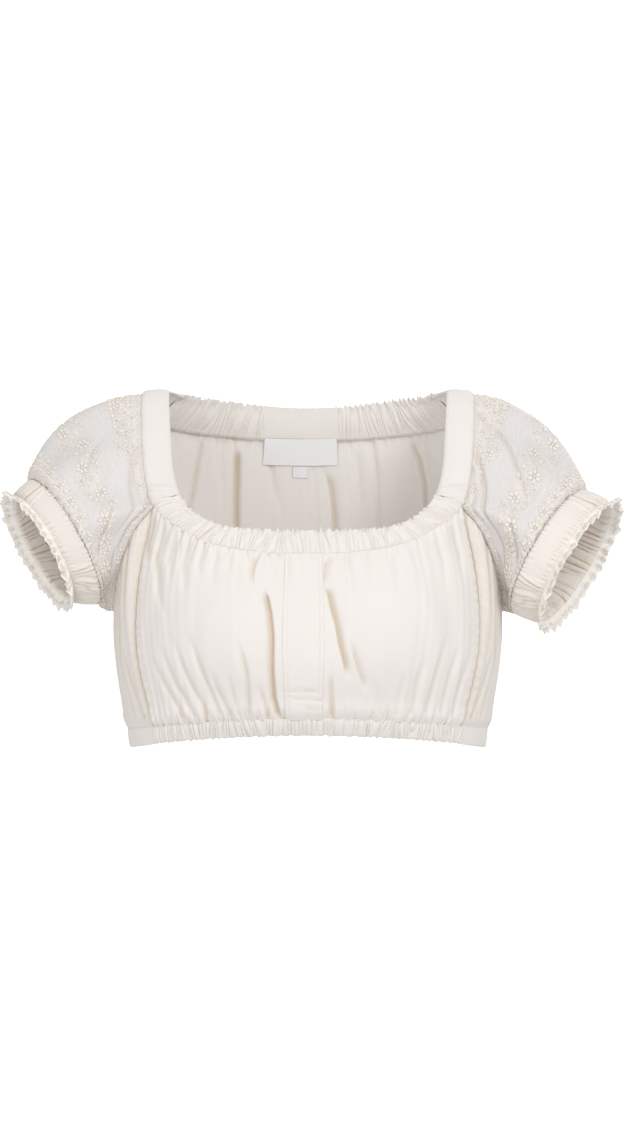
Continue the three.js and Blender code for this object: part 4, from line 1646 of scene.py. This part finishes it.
SLEEVE_FOLDS = {
    Side.LEFT: (
        Fold(
            on_sleeve((0.11, 0.0), (0.19, 0.15), (0.27, 0.26), (0.35, 0.33), (0.43, 0.4)),
            2.0, 2.8, (0.1, 0.3), 0.5,
        ),
        Fold(on_sleeve((0.05, 0.10), (0.08, 0.22), (0.134, 0.36), (0.20, 0.63)), 1.9, 2.4, (0.2, 0.3), 0.5),
        Fold(on_sleeve((0.02, 0.02), (0.05, 0.05), (0.08, 0.16)), 1.7, 1.8, (0.2, 0.4)),
        Fold(on_sleeve((0.15, 0.0), (0.23, 0.09), (0.32, 0.14)), 1.7, 1.6, (0.1, 0.4)),
        Fold(on_sleeve((0.21, 0.45), (0.28, 0.60), (0.35, 0.72)), 3.4, 2.2, (0.3, 0.3)),
        Fold(on_sleeve((0.33, 0.10), (0.39, 0.30), (0.43, 0.62), (0.45, 0.9)), 2.6, 2.8, (0.2, 0.1), 0.4),
    ),
    Side.RIGHT: (
        Fold(on_sleeve((0.10, 0.02), (0.16, 0.12), (0.24, 0.20), (0.33, 0.27)), 2.2, 2.0, (0.1, 0.4), 0.4),
        Fold(on_sleeve((0.07, 0.26), (0.13, 0.45), (0.18, 0.66)), 2.2, 1.8, (0.3, 0.4)),
        Fold(on_sleeve((0.20, 0.36), (0.27, 0.50), (0.35, 0.66)), 2.2, 2.0, (0.3, 0.3)),
        Fold(on_sleeve((0.21, 0.02), (0.28, 0.10), (0.37, 0.16)), 2.2, 2.0, (0.1, 0.3)),
        Fold(on_sleeve((0.32, 0.16), (0.38, 0.36), (0.42, 0.62), (0.44, 0.9)), 2.6, 2.8, (0.2, 0.1), 0.4),
    ),
}
HIDDEN_SLEEVE_FOLDS = (
    Fold(on_sleeve((0.405, 0.12), (0.43, 0.4), (0.445, 0.7), (0.45, 0.98)), 1.9, 3.0, (0.2, 0.1), 0.4),
    Fold(on_sleeve((0.475, 0.3), (0.478, 0.6), (0.475, 0.98)), 1.9, 2.8, (0.2, 0.1)),
    Fold(on_sleeve((0.93, 0.06), (0.85, 0.20), (0.74, 0.32)), 3.4, 2.6, (0.2, 0.4)),
    Fold(on_sleeve((0.86, 0.46), (0.78, 0.62), (0.70, 0.84)), 3.4, 2.4, (0.3, 0.2)),
    Fold(on_sleeve((0.68, 0.10), (0.62, 0.40), (0.57, 0.82)), 3.0, 2.4, (0.3, 0.2)),
    Fold(on_sleeve((0.48, 0.20), (0.50, 0.50), (0.52, 0.85)), 2.6, 2.0, (0.3, 0.2)),
)


@dataclass(frozen=True)
class Sleeve:
    """One sheer puff sleeve with its embroidery.

    Attributes:
        side: The wearer's left or right.
        soft_folds: How many soft folds run down it.
        soft_depth: Their depth in millimetres.
        seam_gathers: The gathers along its seam.
        cuff_gathers: The gathers above its cuff.
        lift: How far embroidery stands out from the cloth, in millimetres.
        seam_loops: How many small loops run along the seam.
        border_flowers: How many flowers the border by the cuff has.
        garland_turns: How many times the garland winds up and down.
        shoulder_sprigs: How many places along the seam have sprigs.
    """

    side: Side
    soft_folds: int = 8
    soft_depth: float = 2.2
    seam_gathers: Gathers = Gathers(58, 1.1, 12, 101)
    cuff_gathers: Gathers = Gathers(62, 1.3, 15, 103, width=0.3)
    lift: float = 0.12
    seam_loops: int = 64
    border_flowers: int = 24
    garland_turns: int = 9
    shoulder_sprigs: int = 24

    def build(self) -> list[Piece]:
        """Makes the sleeve's cloth and its embroidery.

        Returns:
            The finished pieces.
        """
        cloth = Cloth(
            f"sleeve_cloth_{self.side.word}", (280, 76), (400, 110), Held.GATHERED,
            (f"shoulder_band_cloth_{self.side.word}",), "sheer", (f"sleeve_{self.side.word}",),
            0.25, True, 0.8,
        )
        return [cloth.lay(self.surface, SHEER, self.crease, self.worked), self.embroider()]

    def middle(self, s: Array, t: Array) -> Array:
        """The sleeve's smooth form."""
        return FORM.sleeve(ARMS[self.side], s, t)

    def press(self, s: Array, t: Array) -> Array:
        """How far folds and gathers press each point, in millimetres."""
        share = np.mod(s, 1.0)
        ends = self.middle(s, np.ones_like(s)) - self.middle(s, np.zeros_like(s))
        span = np.linalg.norm(ends, axis=1)
        folds = SLEEVE_FOLDS[self.side] + HIDDEN_SLEEVE_FOLDS
        total = press_all(folds, ROUND_ARM * share, DOWN_SLEEVE * t)
        top = 0.35 + 0.65 * (bell(share, 0.1) + bell(1 - share, 0.1) + bell(share - 0.5, 0.16))
        total += self.seam_gathers.press(share, t * span, top)
        total += self.cuff_gathers.press(share, (1 - t) * span)
        return total * np.clip(span / 30, 0.3, 1)

    def surface(self, s: Array, t: Array, out: float) -> Array:
        """The sleeve's surface, s round the arm and t from the seam to the cuff."""
        step = 0.004
        across = self.middle(s + step, t) - self.middle(s - step, t)
        down = self.middle(s, np.minimum(t + step, 1)) - self.middle(s, np.maximum(t - step, 0))
        normal = unit(np.cross(across, down))
        soft = self.soft_depth * np.sin(math.pi * t) * np.cos(TURN * self.soft_folds * s)
        bulge, place, wide = 2.2, 0.93, 0.06
        lift = out + soft - self.press(s, t) + bulge * bell(t - place, wide)
        points = self.middle(s, t) + normal * column(lift)
        return mirrored(points, self.side)

    def crease(self, s: Array, t: Array) -> Array:
        """How far in a crease each point lies, for its painted shade; the cloth under the arm gets painted
        shade too.
        """
        under = 0.75 * bell(np.mod(s, 1.0) - 0.48, 0.1) * ease((t + 0.1) / 0.5)
        return (self.press(s, t) - 0.9) / 3.2 + under

    def worked(self, s: Array, t: Array) -> Array:
        """How densely each point is embroidered: at the seam, round the middle and at the cuff."""
        sway = 0.04 * np.sin(TURN * self.garland_turns * s) + 0.03 * Uneven(205, (5, 23)).at(s)
        middle = bell(t + sway - 0.5, 0.12) * (0.75 + 0.25 * Uneven(207, (9, 21)).at(s))
        share = np.mod(s, 1)
        top = bell(t - 0.06, 0.05 + 0.09 * bell(np.minimum(share, 1 - share), 0.09))
        border = ease((t + 0.5 * sway - 0.76) / 0.06)
        return np.clip(np.maximum(np.maximum(middle, top), border), 0, 1)

    def embroider(self) -> Piece:
        """Embroiders a border, a winding garland and sprigs by the shoulder.

        Returns:
            The embroidery, as one piece.
        """
        needle = Needlework()
        self.border(needle)
        self.garland(needle)
        self.sprigs(needle)
        for i in range(self.seam_loops):
            needle.scallop((i + 0.5) / self.seam_loops, 0.022, 3.6)
        return needle.finish(self, f"embroidery_{self.side.word}")

    def border(self, needle: "Needlework") -> None:
        """Embroiders flowers between leaves over a scalloped edge by the cuff."""
        for i in range(self.border_flowers):
            share = (i + 0.5) / self.border_flowers
            between = share + 0.5 / self.border_flowers
            needle.flower(share, 0.86, 4.6, 6, turn=i)
            needle.leaf(between, 0.895, 6.2, 3.0, 0.6)
            needle.leaf(between, 0.83, 6.0, 2.8, -0.7)
            needle.leaf(share, 0.785, 4.6, 2.4, math.pi / 2)
            needle.flower(between, 0.93, 2.6, 4, turn=i)
            needle.scallop(share, 0.965, 6.4)
            needle.scallop(between, 0.965, 6.4)

    def garland(self, needle: "Needlework") -> None:
        """Embroiders a winding stem with flowers, leaves and buds.

        Args:
            needle: What embroiders the sleeve.
        """
        turns, middle = self.garland_turns, 0.50
        steps = 20 * turns
        waves = [math.sin(TURN * turns * k / steps) for k in range(steps + 1)]
        needle.stem([(k / steps, middle + 0.08 * wave) for k, wave in enumerate(waves)], 1.0)
        chance = np.random.default_rng(200 + self.side.value)
        for i in range(2 * turns):
            share = (i + 0.5) / (2 * turns)
            sway = 1 if i % 2 == 0 else -1
            needle.flower(share, middle + 0.05 * sway, chance.uniform(5.4, 6.6), 6, turn=i * 0.7)
            small = chance.uniform(3.4, 4.2)
            needle.flower(share + 0.024, middle + 0.11 * sway, small, 5, turn=i)
            for k in range(4):
                where = share + (k - 1.5) * 0.012 + chance.uniform(-0.004, 0.004)
                tip = middle - sway * (0.04 + 0.055 * (k % 3) / 2)
                turn = sway * (k - 1.5) * 0.7
                needle.leaf(where, tip, chance.uniform(5.0, 7.0), 2.8, turn)
            needle.dots(share + 0.02, middle + 0.16 * sway, 3, 1.3)
            needle.dots(share - 0.02, middle - 0.15 * sway, 3, 1.3)

    def sprigs(self, needle: "Needlework") -> None:
        """Embroiders sprigs below the seam, closest together at the top of the shoulder.

        Args:
            needle: What embroiders the sleeve.
        """
        chance = np.random.default_rng(230 + self.side.value)
        for i in range(self.shoulder_sprigs):
            reach = (i + 0.5) / self.shoulder_sprigs - 0.5
            drawn_in = 0.5 * math.copysign(abs(2 * reach) ** 1.5, reach)
            share = drawn_in + chance.uniform(-0.005, 0.005)
            close = math.exp(-((share / 0.12) ** 2))
            for row in range(3 if close > 0.4 else 1):
                height = 0.065 + 0.055 * row + chance.uniform(-0.01, 0.01)
                place = share + 0.012 * (row % 2)
                needle.flower(place, height, chance.uniform(3.0, 4.2), 5, turn=i + row)
                needle.leaf(place + 0.013, height + 0.01, 4.8, 2.4, 0.9)
                needle.leaf(place - 0.013, height + 0.015, 4.8, 2.4, -0.9)


@dataclass
class Needlework:
    """Embroiders a cloth: satin stitches are drawn flat, in patterns, and laid on it together.

    Attributes:
        thread: How high a satin stitch stands, in millimetres.
        rim: How strongly painted shade darkens a stitch towards the cloth.
        pads: Each stitch: the shares of its pattern's middle, its own place in millimetres
            from there, half its length and width, and its angle.
        middle: The share round the arm and the share down of the pattern being drawn.
    """

    thread: float = 0.6
    rim: float = 0.5
    pads: list[tuple[float, ...]] = field(default_factory=list)
    middle: Pair = (0.0, 0.0)

    def finish(self, sleeve: Sleeve, name: str) -> Piece:
        """Makes all the stitches and bends them onto the sleeve.

        Args:
            sleeve: The sleeve that is embroidered.
            name: The piece's name.

        Returns:
            The embroidery, as one piece.
        """
        shape = bmesh.new()
        bmesh.ops.create_uvsphere(shape, u_segments=8, v_segments=4, radius=1)
        bm, points = repeat(shape, len(self.pads))
        pads = np.array(self.pads)[:, :, None]
        share, down, x, y, long, wide, turn = (pads[:, k] for k in range(7))
        ox, oy, oz = points.T
        px = x + np.cos(turn) * long * ox - np.sin(turn) * wide * oy
        py = y + np.sin(turn) * long * ox + np.cos(turn) * wide * oy
        step = 0.002
        s0, t0 = share[:, 0], np.clip(down[:, 0], step, 1 - step)
        form = sleeve.middle
        round_arm = np.linalg.norm(form(s0 + step, t0) - form(s0 - step, t0), axis=1)
        length = np.linalg.norm(form(s0, t0 + step) - form(s0, t0 - step), axis=1)
        round_arm, length = (column(size / (2 * step)) for size in (round_arm, length))
        s = (share + px / np.maximum(round_arm, 120)).ravel()
        t = np.clip(down + py / np.maximum(length, 30), 0.0, 1.0).ravel()
        on_cloth = sleeve.surface(s, t, 0.0)
        off_cloth = sleeve.surface(s, t, 1.0)
        rise = np.tile(sleeve.lift + self.thread * oz, len(self.pads))
        place_shapes(bm, on_cloth + (off_cloth - on_cloth) * column(rise))
        made = into_object(name, bm)
        # Painted shade on the underside of each stitch, where it meets the cloth.
        shade(made, np.tile(self.rim * (1 - oz), len(self.pads)))
        return dress(made, THREAD)

    def pad(self, x: float, y: float, long: float, wide: float, turn: float) -> None:
        """Draws one padded satin stitch: its middle, half its length and width, and its angle."""
        self.pads.append((*self.middle, x, y, long, wide, turn))

    def flower(self, share: float, down: float, radius: float, petals: int, turn: float) -> None:
        """Embroiders a flower of satin-stitch petals round a raised middle."""
        self.middle = share, down
        out, long, wide, eye = (part * radius for part in (0.62, 0.42, 0.25, 0.2))
        for k in range(petals):
            angle = turn + TURN * k / petals
            self.pad(out * math.cos(angle), out * math.sin(angle), long, wide, angle)
        self.pad(0, 0, eye, eye, 0)

    def leaf(self, share: float, down: float, long: float, wide: float, turn: float) -> None:
        """Embroiders a leaf as two satin-stitch halves."""
        self.middle = share, down
        for apart in (-0.22, 0.22):
            off = apart * wide
            x, y = -off * math.sin(turn), off * math.cos(turn)
            self.pad(x, y, long / 2, wide / 4, turn + apart)

    def scallop(self, share: float, down: float, wide: float) -> None:
        """Embroiders a small arch of corded edge."""
        self.middle = share, down
        stitches = 5
        for k in range(stitches):
            angle = math.pi * (k + 0.5) / stitches
            x, y = wide / 2 * math.cos(angle), wide / 3 * math.sin(angle)
            self.pad(x, y, 0.2 * wide, 0.1 * wide, angle + math.pi / 2)

    def dots(self, share: float, down: float, count: int, gap: float) -> None:
        """Embroiders a short row of knots."""
        self.middle = share, down
        knot, slant = 0.6, 0.5
        for k in range(count):
            self.pad((k - count / 2) * gap * 1.6, slant * k, knot, knot, 0)

    def stem(self, path: list[Pair], wide: float) -> None:
        """Embroiders a stem as a row of slanting stitches along a path of shares."""
        for (s0, t0), (s1, t1) in zip(path, path[1:]):
            self.middle = (s0 + s1) / 2, (t0 + t1) / 2
            round_arm, length = ROUND_ARM * (s1 - s0), DOWN_SLEEVE * (t1 - t0)
            angle = math.atan2(length, round_arm)
            self.pad(0, 0, 0.62 * math.hypot(round_arm, length), wide / 2, angle)


@dataclass(frozen=True)
class Cuff:
    """One elastic cuff with its lace frill.

    Attributes:
        side: The wearer's left or right.
        start: How far the cuff starts from the sleeve's end, in millimetres.
        frill: The frill's depth.
        flare: How far its edge stands outwards.
        scallops: How many scallops edge it.
        waves: How many large and small waves the frill has.
        sway: How far each kind sways at its edge.
        edge: The share of the depth from which the cuff's layers close in a round.
        outer_ribs: The ruching outside, which the photograph shows nearly smooth in front.
        inner_ribs: The ruching inside.
    """

    side: Side
    start: float = 1.0
    frill: float = 8.5
    flare: float = 6.0
    scallops: int = 42
    waves: tuple[int, int] = (12, 37)
    sway: float = 2.3
    edge: float = 0.86
    outer_ribs: Ruching = Ruching(72, 1.5, 121, smooth=((0.12, 0.34),))
    inner_ribs: Ruching = Ruching(62, 2.1, 131, slant=0.6)

    def build(self) -> list[Piece]:
        """Makes the cuff, its frill and the frill's corded edge.

        Returns:
            The finished pieces.
        """
        word = self.side.word
        cuff = Cloth(
            f"cuff_cloth_{word}", (520, 32), (370, 52), Held.GATHERED,
            (f"sleeve_cloth_{word}",), nodes=(f"cuff_{word}",), tube=True, share=0.9,
        )
        frill = Cloth(
            f"frill_lace_{word}", (460, 10), (400, 12), Held.GATHERED, (f"cuff_cloth_{word}",),
            "lace", (f"cuff_frill_{word}",), 0.3, True, 0.85,
        )
        return [
            cuff.lay(self.surface, CUFF_COTTON, self.crease),
            frill.lay(self.frill_surface, LACE, worked=self.knotted),
            self.corded_edge(),
        ]

    def surface(self, s: Array, w: Array, out: float) -> Array:
        """The cuff's surface, w from its outer seam round the hand's edge to the inner one."""
        arm = ARMS[self.side]
        depth, layer = two_layers(w)
        ribs = np.where(layer > 0, self.outer_ribs.rise(s, depth), self.inner_ribs.rise(s, depth))
        layers, puff, outside = 0.7, 0.9, 0.35
        apart = layers + swollen(depth) * (puff + ribs) + outside * ribs
        apart = (apart + self.edge_creases(s, depth)) * rounded_end(depth, self.edge)
        middle = lerp(arm.ring(s, hand=False), arm.ring(s, hand=True), column(depth))
        middle += arm.along * self.start * column(1 - depth)
        return mirrored(middle + arm.radial(s) * column(layer * (out + apart)), self.side)

    def by_edges(self, depth: Array) -> Array:
        """How near each point lies to the band's edges, from 0 to 1."""
        return bell(depth, 0.16) + bell(depth - self.edge, 0.12)

    def edge_creases(self, s: Array, depth: Array) -> Array:
        """Fine creases by both edges of the band, in millimetres."""
        height, count = 0.8, 44
        creases = np.abs(np.sin(TURN * count * s + 2 * Uneven(145, (3, 19)).at(s)))
        return height * self.by_edges(depth) * creases

    def crease(self, s: Array, w: Array) -> Array:
        """How far in a crease each point lies, for its painted shade; the inside gets more, and so do the
        band's edges outside.
        """
        depth, layer = two_layers(w)
        inside = 0.1 + 2.1 * self.inner_ribs.crease(s, depth)
        outside = self.outer_ribs.crease(s, depth) + 0.5 * self.by_edges(depth)
        return np.where(layer > 0, outside - 0.9 * self.edge_creases(s, depth), inside)

    def knotted(self, s: Array, t: Array) -> Array:
        """How densely the frill is knotted, from its plain seam to its edge."""
        return 0.95 * ease((t - 0.1) / 0.3) + 0 * s

    def frill_surface(self, s: Array, t: Array, out: float) -> Array:
        """The frill's surface, which widens and sways towards its edge."""
        arm = ARMS[self.side]
        large, small = self.waves
        waves = np.sin(TURN * large * s + 1.2 * Uneven(141, (2, 7)).at(s))
        waves += np.sin(TURN * small * s + 2 * Uneven(142, (3, 9)).at(s))
        depth = self.frill * (0.80 + 0.2 * np.abs(np.sin(math.pi * self.scallops * s)) ** 0.6)
        lift = out + self.flare * t**0.8 + self.sway * t * waves
        middle = arm.ring(s, hand=True) + arm.along * column(depth * t - 0.6)
        return mirrored(middle + arm.radial(s) * column(lift), self.side)

    def corded_edge(self) -> Piece:
        """Edges the frill with small corded fans on both its sides.

        Returns:
            The edging, as one piece.
        """
        shape = bmesh.new()
        bmesh.ops.create_uvsphere(shape, u_segments=6, v_segments=4, radius=1)
        per_fan, splay, pitch, thin, place, round_hand = 5, 0.29, 1.2, 0.5, 0.66, 330
        one_side = per_fan * self.scallops
        bm, points = repeat(shape, 2 * one_side)
        number = np.arange(2 * one_side)[:, None]
        layer = np.where(number < one_side, 1.0, -1.0)
        spoke = number % per_fan - (per_fan - 1) / 2
        turn = -splay * spoke
        long = 2.1 - 0.16 * np.abs(spoke)
        ox, oy, oz = points.T
        x = pitch * spoke + np.cos(turn) * thin * ox - np.sin(turn) * long * oy
        y = np.sin(turn) * thin * ox + np.cos(turn) * long * oy
        s = ((number // per_fan + 0.5) / self.scallops + x / round_hand).ravel()
        t = (place + y / self.frill).ravel()
        on_lace = self.frill_surface(s, t, 0.0)
        off_lace = self.frill_surface(s, t, 1.0)
        rise = (layer * (0.75 * oz + 0.2)).ravel()
        place_shapes(bm, on_lace + (off_lace - on_lace) * column(rise))
        made = into_object(f"frill_edge_{self.side.word}", bm)
        # Painted shade on the side of each knot that faces the lace.
        shade(made, np.tile(0.6 * (1 - oz), len(number)))
        return dress(made, THREAD)


@dataclass(frozen=True)
class NeckLabel:
    """The woven label and its size tab inside the back, both left bare.

    Attributes:
        across: The label's place, as shares across the back panel.
        down: The share of the panel's height that it reaches down to.
        tab_across: The tab's place across.
        tab_down: Where the tab starts and ends.
        behind: How far it lies from the middle of the back's cloth, in millimetres.
    """

    across: Pair = (17 / 46, 27 / 46)
    down: float = 0.093
    tab_across: Pair = (21 / 46, 23 / 46)
    tab_down: Pair = (0.0955, 0.136)
    behind: float = 1.4

    def build(self) -> list[Piece]:
        """Makes the label and the tab.

        Returns:
            The finished pieces.
        """
        label = Cloth(
            "neck_label_cloth", (80, 36), (57, 23), Held.HUNG, ("back_cloth",), "label",
            ("neck_label",), 0.35,
        )
        tab = Cloth(
            "size_tab_cloth", (24, 24), (11.5, 10.5), Held.FOLDED, ("neck_label_cloth",), "label",
            ("size_tab",), 0.5,
        )
        return [
            label.lay(self.surface(self.across, (-0.002, self.down), 0.35), LABEL),
            tab.lay(self.surface(self.tab_across, self.tab_down, 0.2), LABEL),
        ]

    def surface(self, across: Pair, down: Pair, bow: float) -> Surface:
        """Makes a surface that lies inside the back panel.

        Args:
            across: Its sides, as shares across the panel.
            down: Its top and bottom, as shares of the panel's height.
            bow: How far its foot stands off the cloth.

        Returns:
            The surface.
        """

        def surface(w: Array, h: Array, out: float) -> Array:
            """The label's surface, w across and h downwards."""
            u, v = lerp(across[0], across[1], w), lerp(down[0], down[1], h)
            points = FORM.back(u, v)
            edge = np.minimum(w, 1 - w)
            rim = 0.18 * bell(edge - 0.02, 0.012)
            sag = bow * np.sin(math.pi * w) * h + 0.25 * np.sin(5 * w + 3 * h)
            lift = -self.behind - out - sag + rim
            return points + FORM.facing(points) * column(lift)

        return surface


@dataclass(frozen=True)
class Seamwork:
    """The rows of stitches that show on the casings and on the centre strip.

    Attributes:
        bodice: The panels.
        neckline: The neckline's casing.
        hem: The hem's casing.
        strip_rows: The rows along the centre strip, as shares across it.
    """

    bodice: Bodice
    neckline: NecklineCasing
    hem: HemCasing
    strip_rows: Pair = (0.11, 0.89)

    def build(self) -> list[Piece]:
        """Sews every row.

        Returns:
            The stitches, as pieces.
        """
        along = [0.003 + 0.994 * k / 40 for k in range(41)]

        def row_at(depth: float, inside: bool = False) -> list[Pair]:
            """A row along a casing at a share of its depth."""
            w = math.asin(depth) / math.pi
            return [(u, 1 - w if inside else w) for u in along]

        corner, far = FORM.front_corner, FORM.back_corner
        front = self.neckline.ruched(-corner, corner, self.neckline.front_ribs)
        back = self.neckline.ruched(far, 2 * FORM.centre_back - far, self.neckline.back_ribs)
        start, end = self.neckline.channel
        runs = [(front, row_at(d)) for d in (start, end)]
        runs += [(back, row_at(d, inside)) for d in (start, end) for inside in (False, True)]
        foot = FORM.seam_foot
        for first, last, ribs in (
            (foot - math.pi, -foot, self.hem.front_ribs),
            (foot, math.pi - foot, self.hem.back_ribs),
        ):
            stretch = self.hem.stretch(first, last, ribs, Side.LEFT)
            runs.append((stretch, row_at(self.hem.stitch_row)))
        for side in Side:
            band = self.neckline.plain(corner, far, side)
            runs += [(band, row_at(depth)) for depth in self.neckline.band_rows]
        strip = [[(w, 0.01 + 0.98 * k / 20) for k in range(21)] for w in self.strip_rows]
        runs += [(self.bodice.strip_surface, row) for row in strip]
        made = Stitching("seam_stitches").sew(runs, THREAD)
        return [made]


@dataclass(frozen=True)
class Studio:
    """A pale floor that turns up all round into a backdrop, soft lights and the camera.

    Attributes:
        floor: The floor's height in metres.
        reach: How far the flat floor reaches from the blouse.
        radius: How round its turn up is.
        tall: How high the backdrop rises above its turn.
        glow: How brightly it shines.
        camera: The camera's place.
        lens: Its focal length in millimetres.
        sky: The light that comes from all around.
        sky_colour: Its colour.
        lamps: Each lamp's name, place, side in metres, and power in watts.
        aim: The place that the lamps look at.
    """

    floor: float = -0.75
    reach: float = 3.4
    radius: float = 1.5
    tall: float = 3.0
    glow: float = 0.75
    camera: Point = (0.0034, -2.5, -0.144)
    lens: float = 99.2
    sky: float = 0.67
    sky_colour: tuple[float, float, float, float] = (1.0, 0.98, 0.96, 1)
    lamps: tuple[tuple[str, Point, float, float], ...] = (
        ("key", (1.15, -2.3, 1.2), 0.9, 24.5), ("fill", (-1.1, -2.4, -0.45), 1.3, 13),
        ("rear", (1.2, 2.3, 1.3), 1.0, 24),
    )
    aim: Point = (0, 0, -0.14)

    def build(self) -> None:
        """Sets up the floor, the light and the camera."""
        self.lay_floor()
        world = bpy.data.worlds.new("studio")
        world.use_nodes = True
        sky = world.node_tree.nodes["Background"]
        sky.inputs["Color"].default_value = self.sky_colour
        sky.inputs["Strength"].default_value = self.sky
        bpy.context.scene.world = world
        for lamp in self.lamps:
            self.light(*lamp)
        eye = bpy.data.cameras.new("camera")
        eye.lens = self.lens
        made = bpy.data.objects.new("camera", eye)
        made.location = self.camera
        made.rotation_euler = (math.pi / 2, 0, 0)
        bpy.context.scene.collection.objects.link(made)
        bpy.context.scene.camera = made
        bpy.context.scene.view_settings.view_transform = "Standard"

    def lay_floor(self) -> None:
        """Lays the floor and turns it up all round, lit by itself so that it adds no light."""
        bm = bmesh.new()
        reach, radius = self.reach, self.radius
        angles = np.linspace(0, math.pi / 2, 13)
        bend = [(reach + radius * math.sin(a), radius * (1 - math.cos(a))) for a in angles]
        rim = (reach + radius, radius + self.tall)
        profile = [(0.0, 0.0), *bend, rim]
        verts = [bm.verts.new((out, 0, self.floor + up)) for out, up in profile]
        edges = [bm.edges.new(pair) for pair in zip(verts, verts[1:])]
        bmesh.ops.spin(
            bm, geom=verts + edges, cent=(0, 0, 0), axis=(0, 0, 1), angle=TURN, steps=72,
            use_merge=True,
        )
        bmesh.ops.remove_doubles(bm, verts=bm.verts, dist=SAME_POINT)
        bmesh.ops.recalc_face_normals(bm, faces=bm.faces)
        made = into_object("floor", bm)
        paper = bpy.data.materials.new("pale_paper")
        paper.use_nodes = True
        shader = paper.node_tree.nodes["Principled BSDF"]
        shader.inputs["Base Color"].default_value = (0.93, 0.93, 0.93, 1)
        shader.inputs["Roughness"].default_value = 0.9
        shader.inputs["Emission Color"].default_value = (1, 1, 1, 1)
        shader.inputs["Emission Strength"].default_value = self.glow
        made.data.materials.append(paper)
        made.visible_diffuse = made.visible_glossy = made.visible_shadow = False

    def light(self, name: str, place: Point, size: float, power: float) -> None:
        """Hangs a soft square light that looks at the blouse.

        Args:
            name: The light's name.
            place: Where it hangs, in metres.
            size: Its side in metres.
            power: Its power in watts.
        """
        lamp = bpy.data.lights.new(name, "AREA")
        lamp.size, lamp.energy = size, power
        made = bpy.data.objects.new(name, lamp)
        made.location = place
        aim = Vector(self.aim) - Vector(place)
        made.rotation_euler = aim.to_track_quat("-Z", "Y").to_euler()
        bpy.context.scene.collection.objects.link(made)


def main() -> None:
    """Builds the blouse piece by piece and reports each."""
    logging.basicConfig(level=logging.INFO, format="%(message)s")
    Studio().build()
    bodice, neckline, hem = Bodice(), NecklineCasing(), HemCasing()
    assemblies = [bodice, neckline, hem, NeckLabel(), Seamwork(bodice, neckline, hem)]
    assemblies += [maker(side) for side in Side for maker in (Sleeve, Cuff)]
    for assembly in assemblies:
        for piece in assembly.build():
            faces = len(piece.data.polygons)
            log.info("%s: %s, %d faces", type(assembly).__name__, piece.name, faces)


if __name__ == "__main__":
    main()
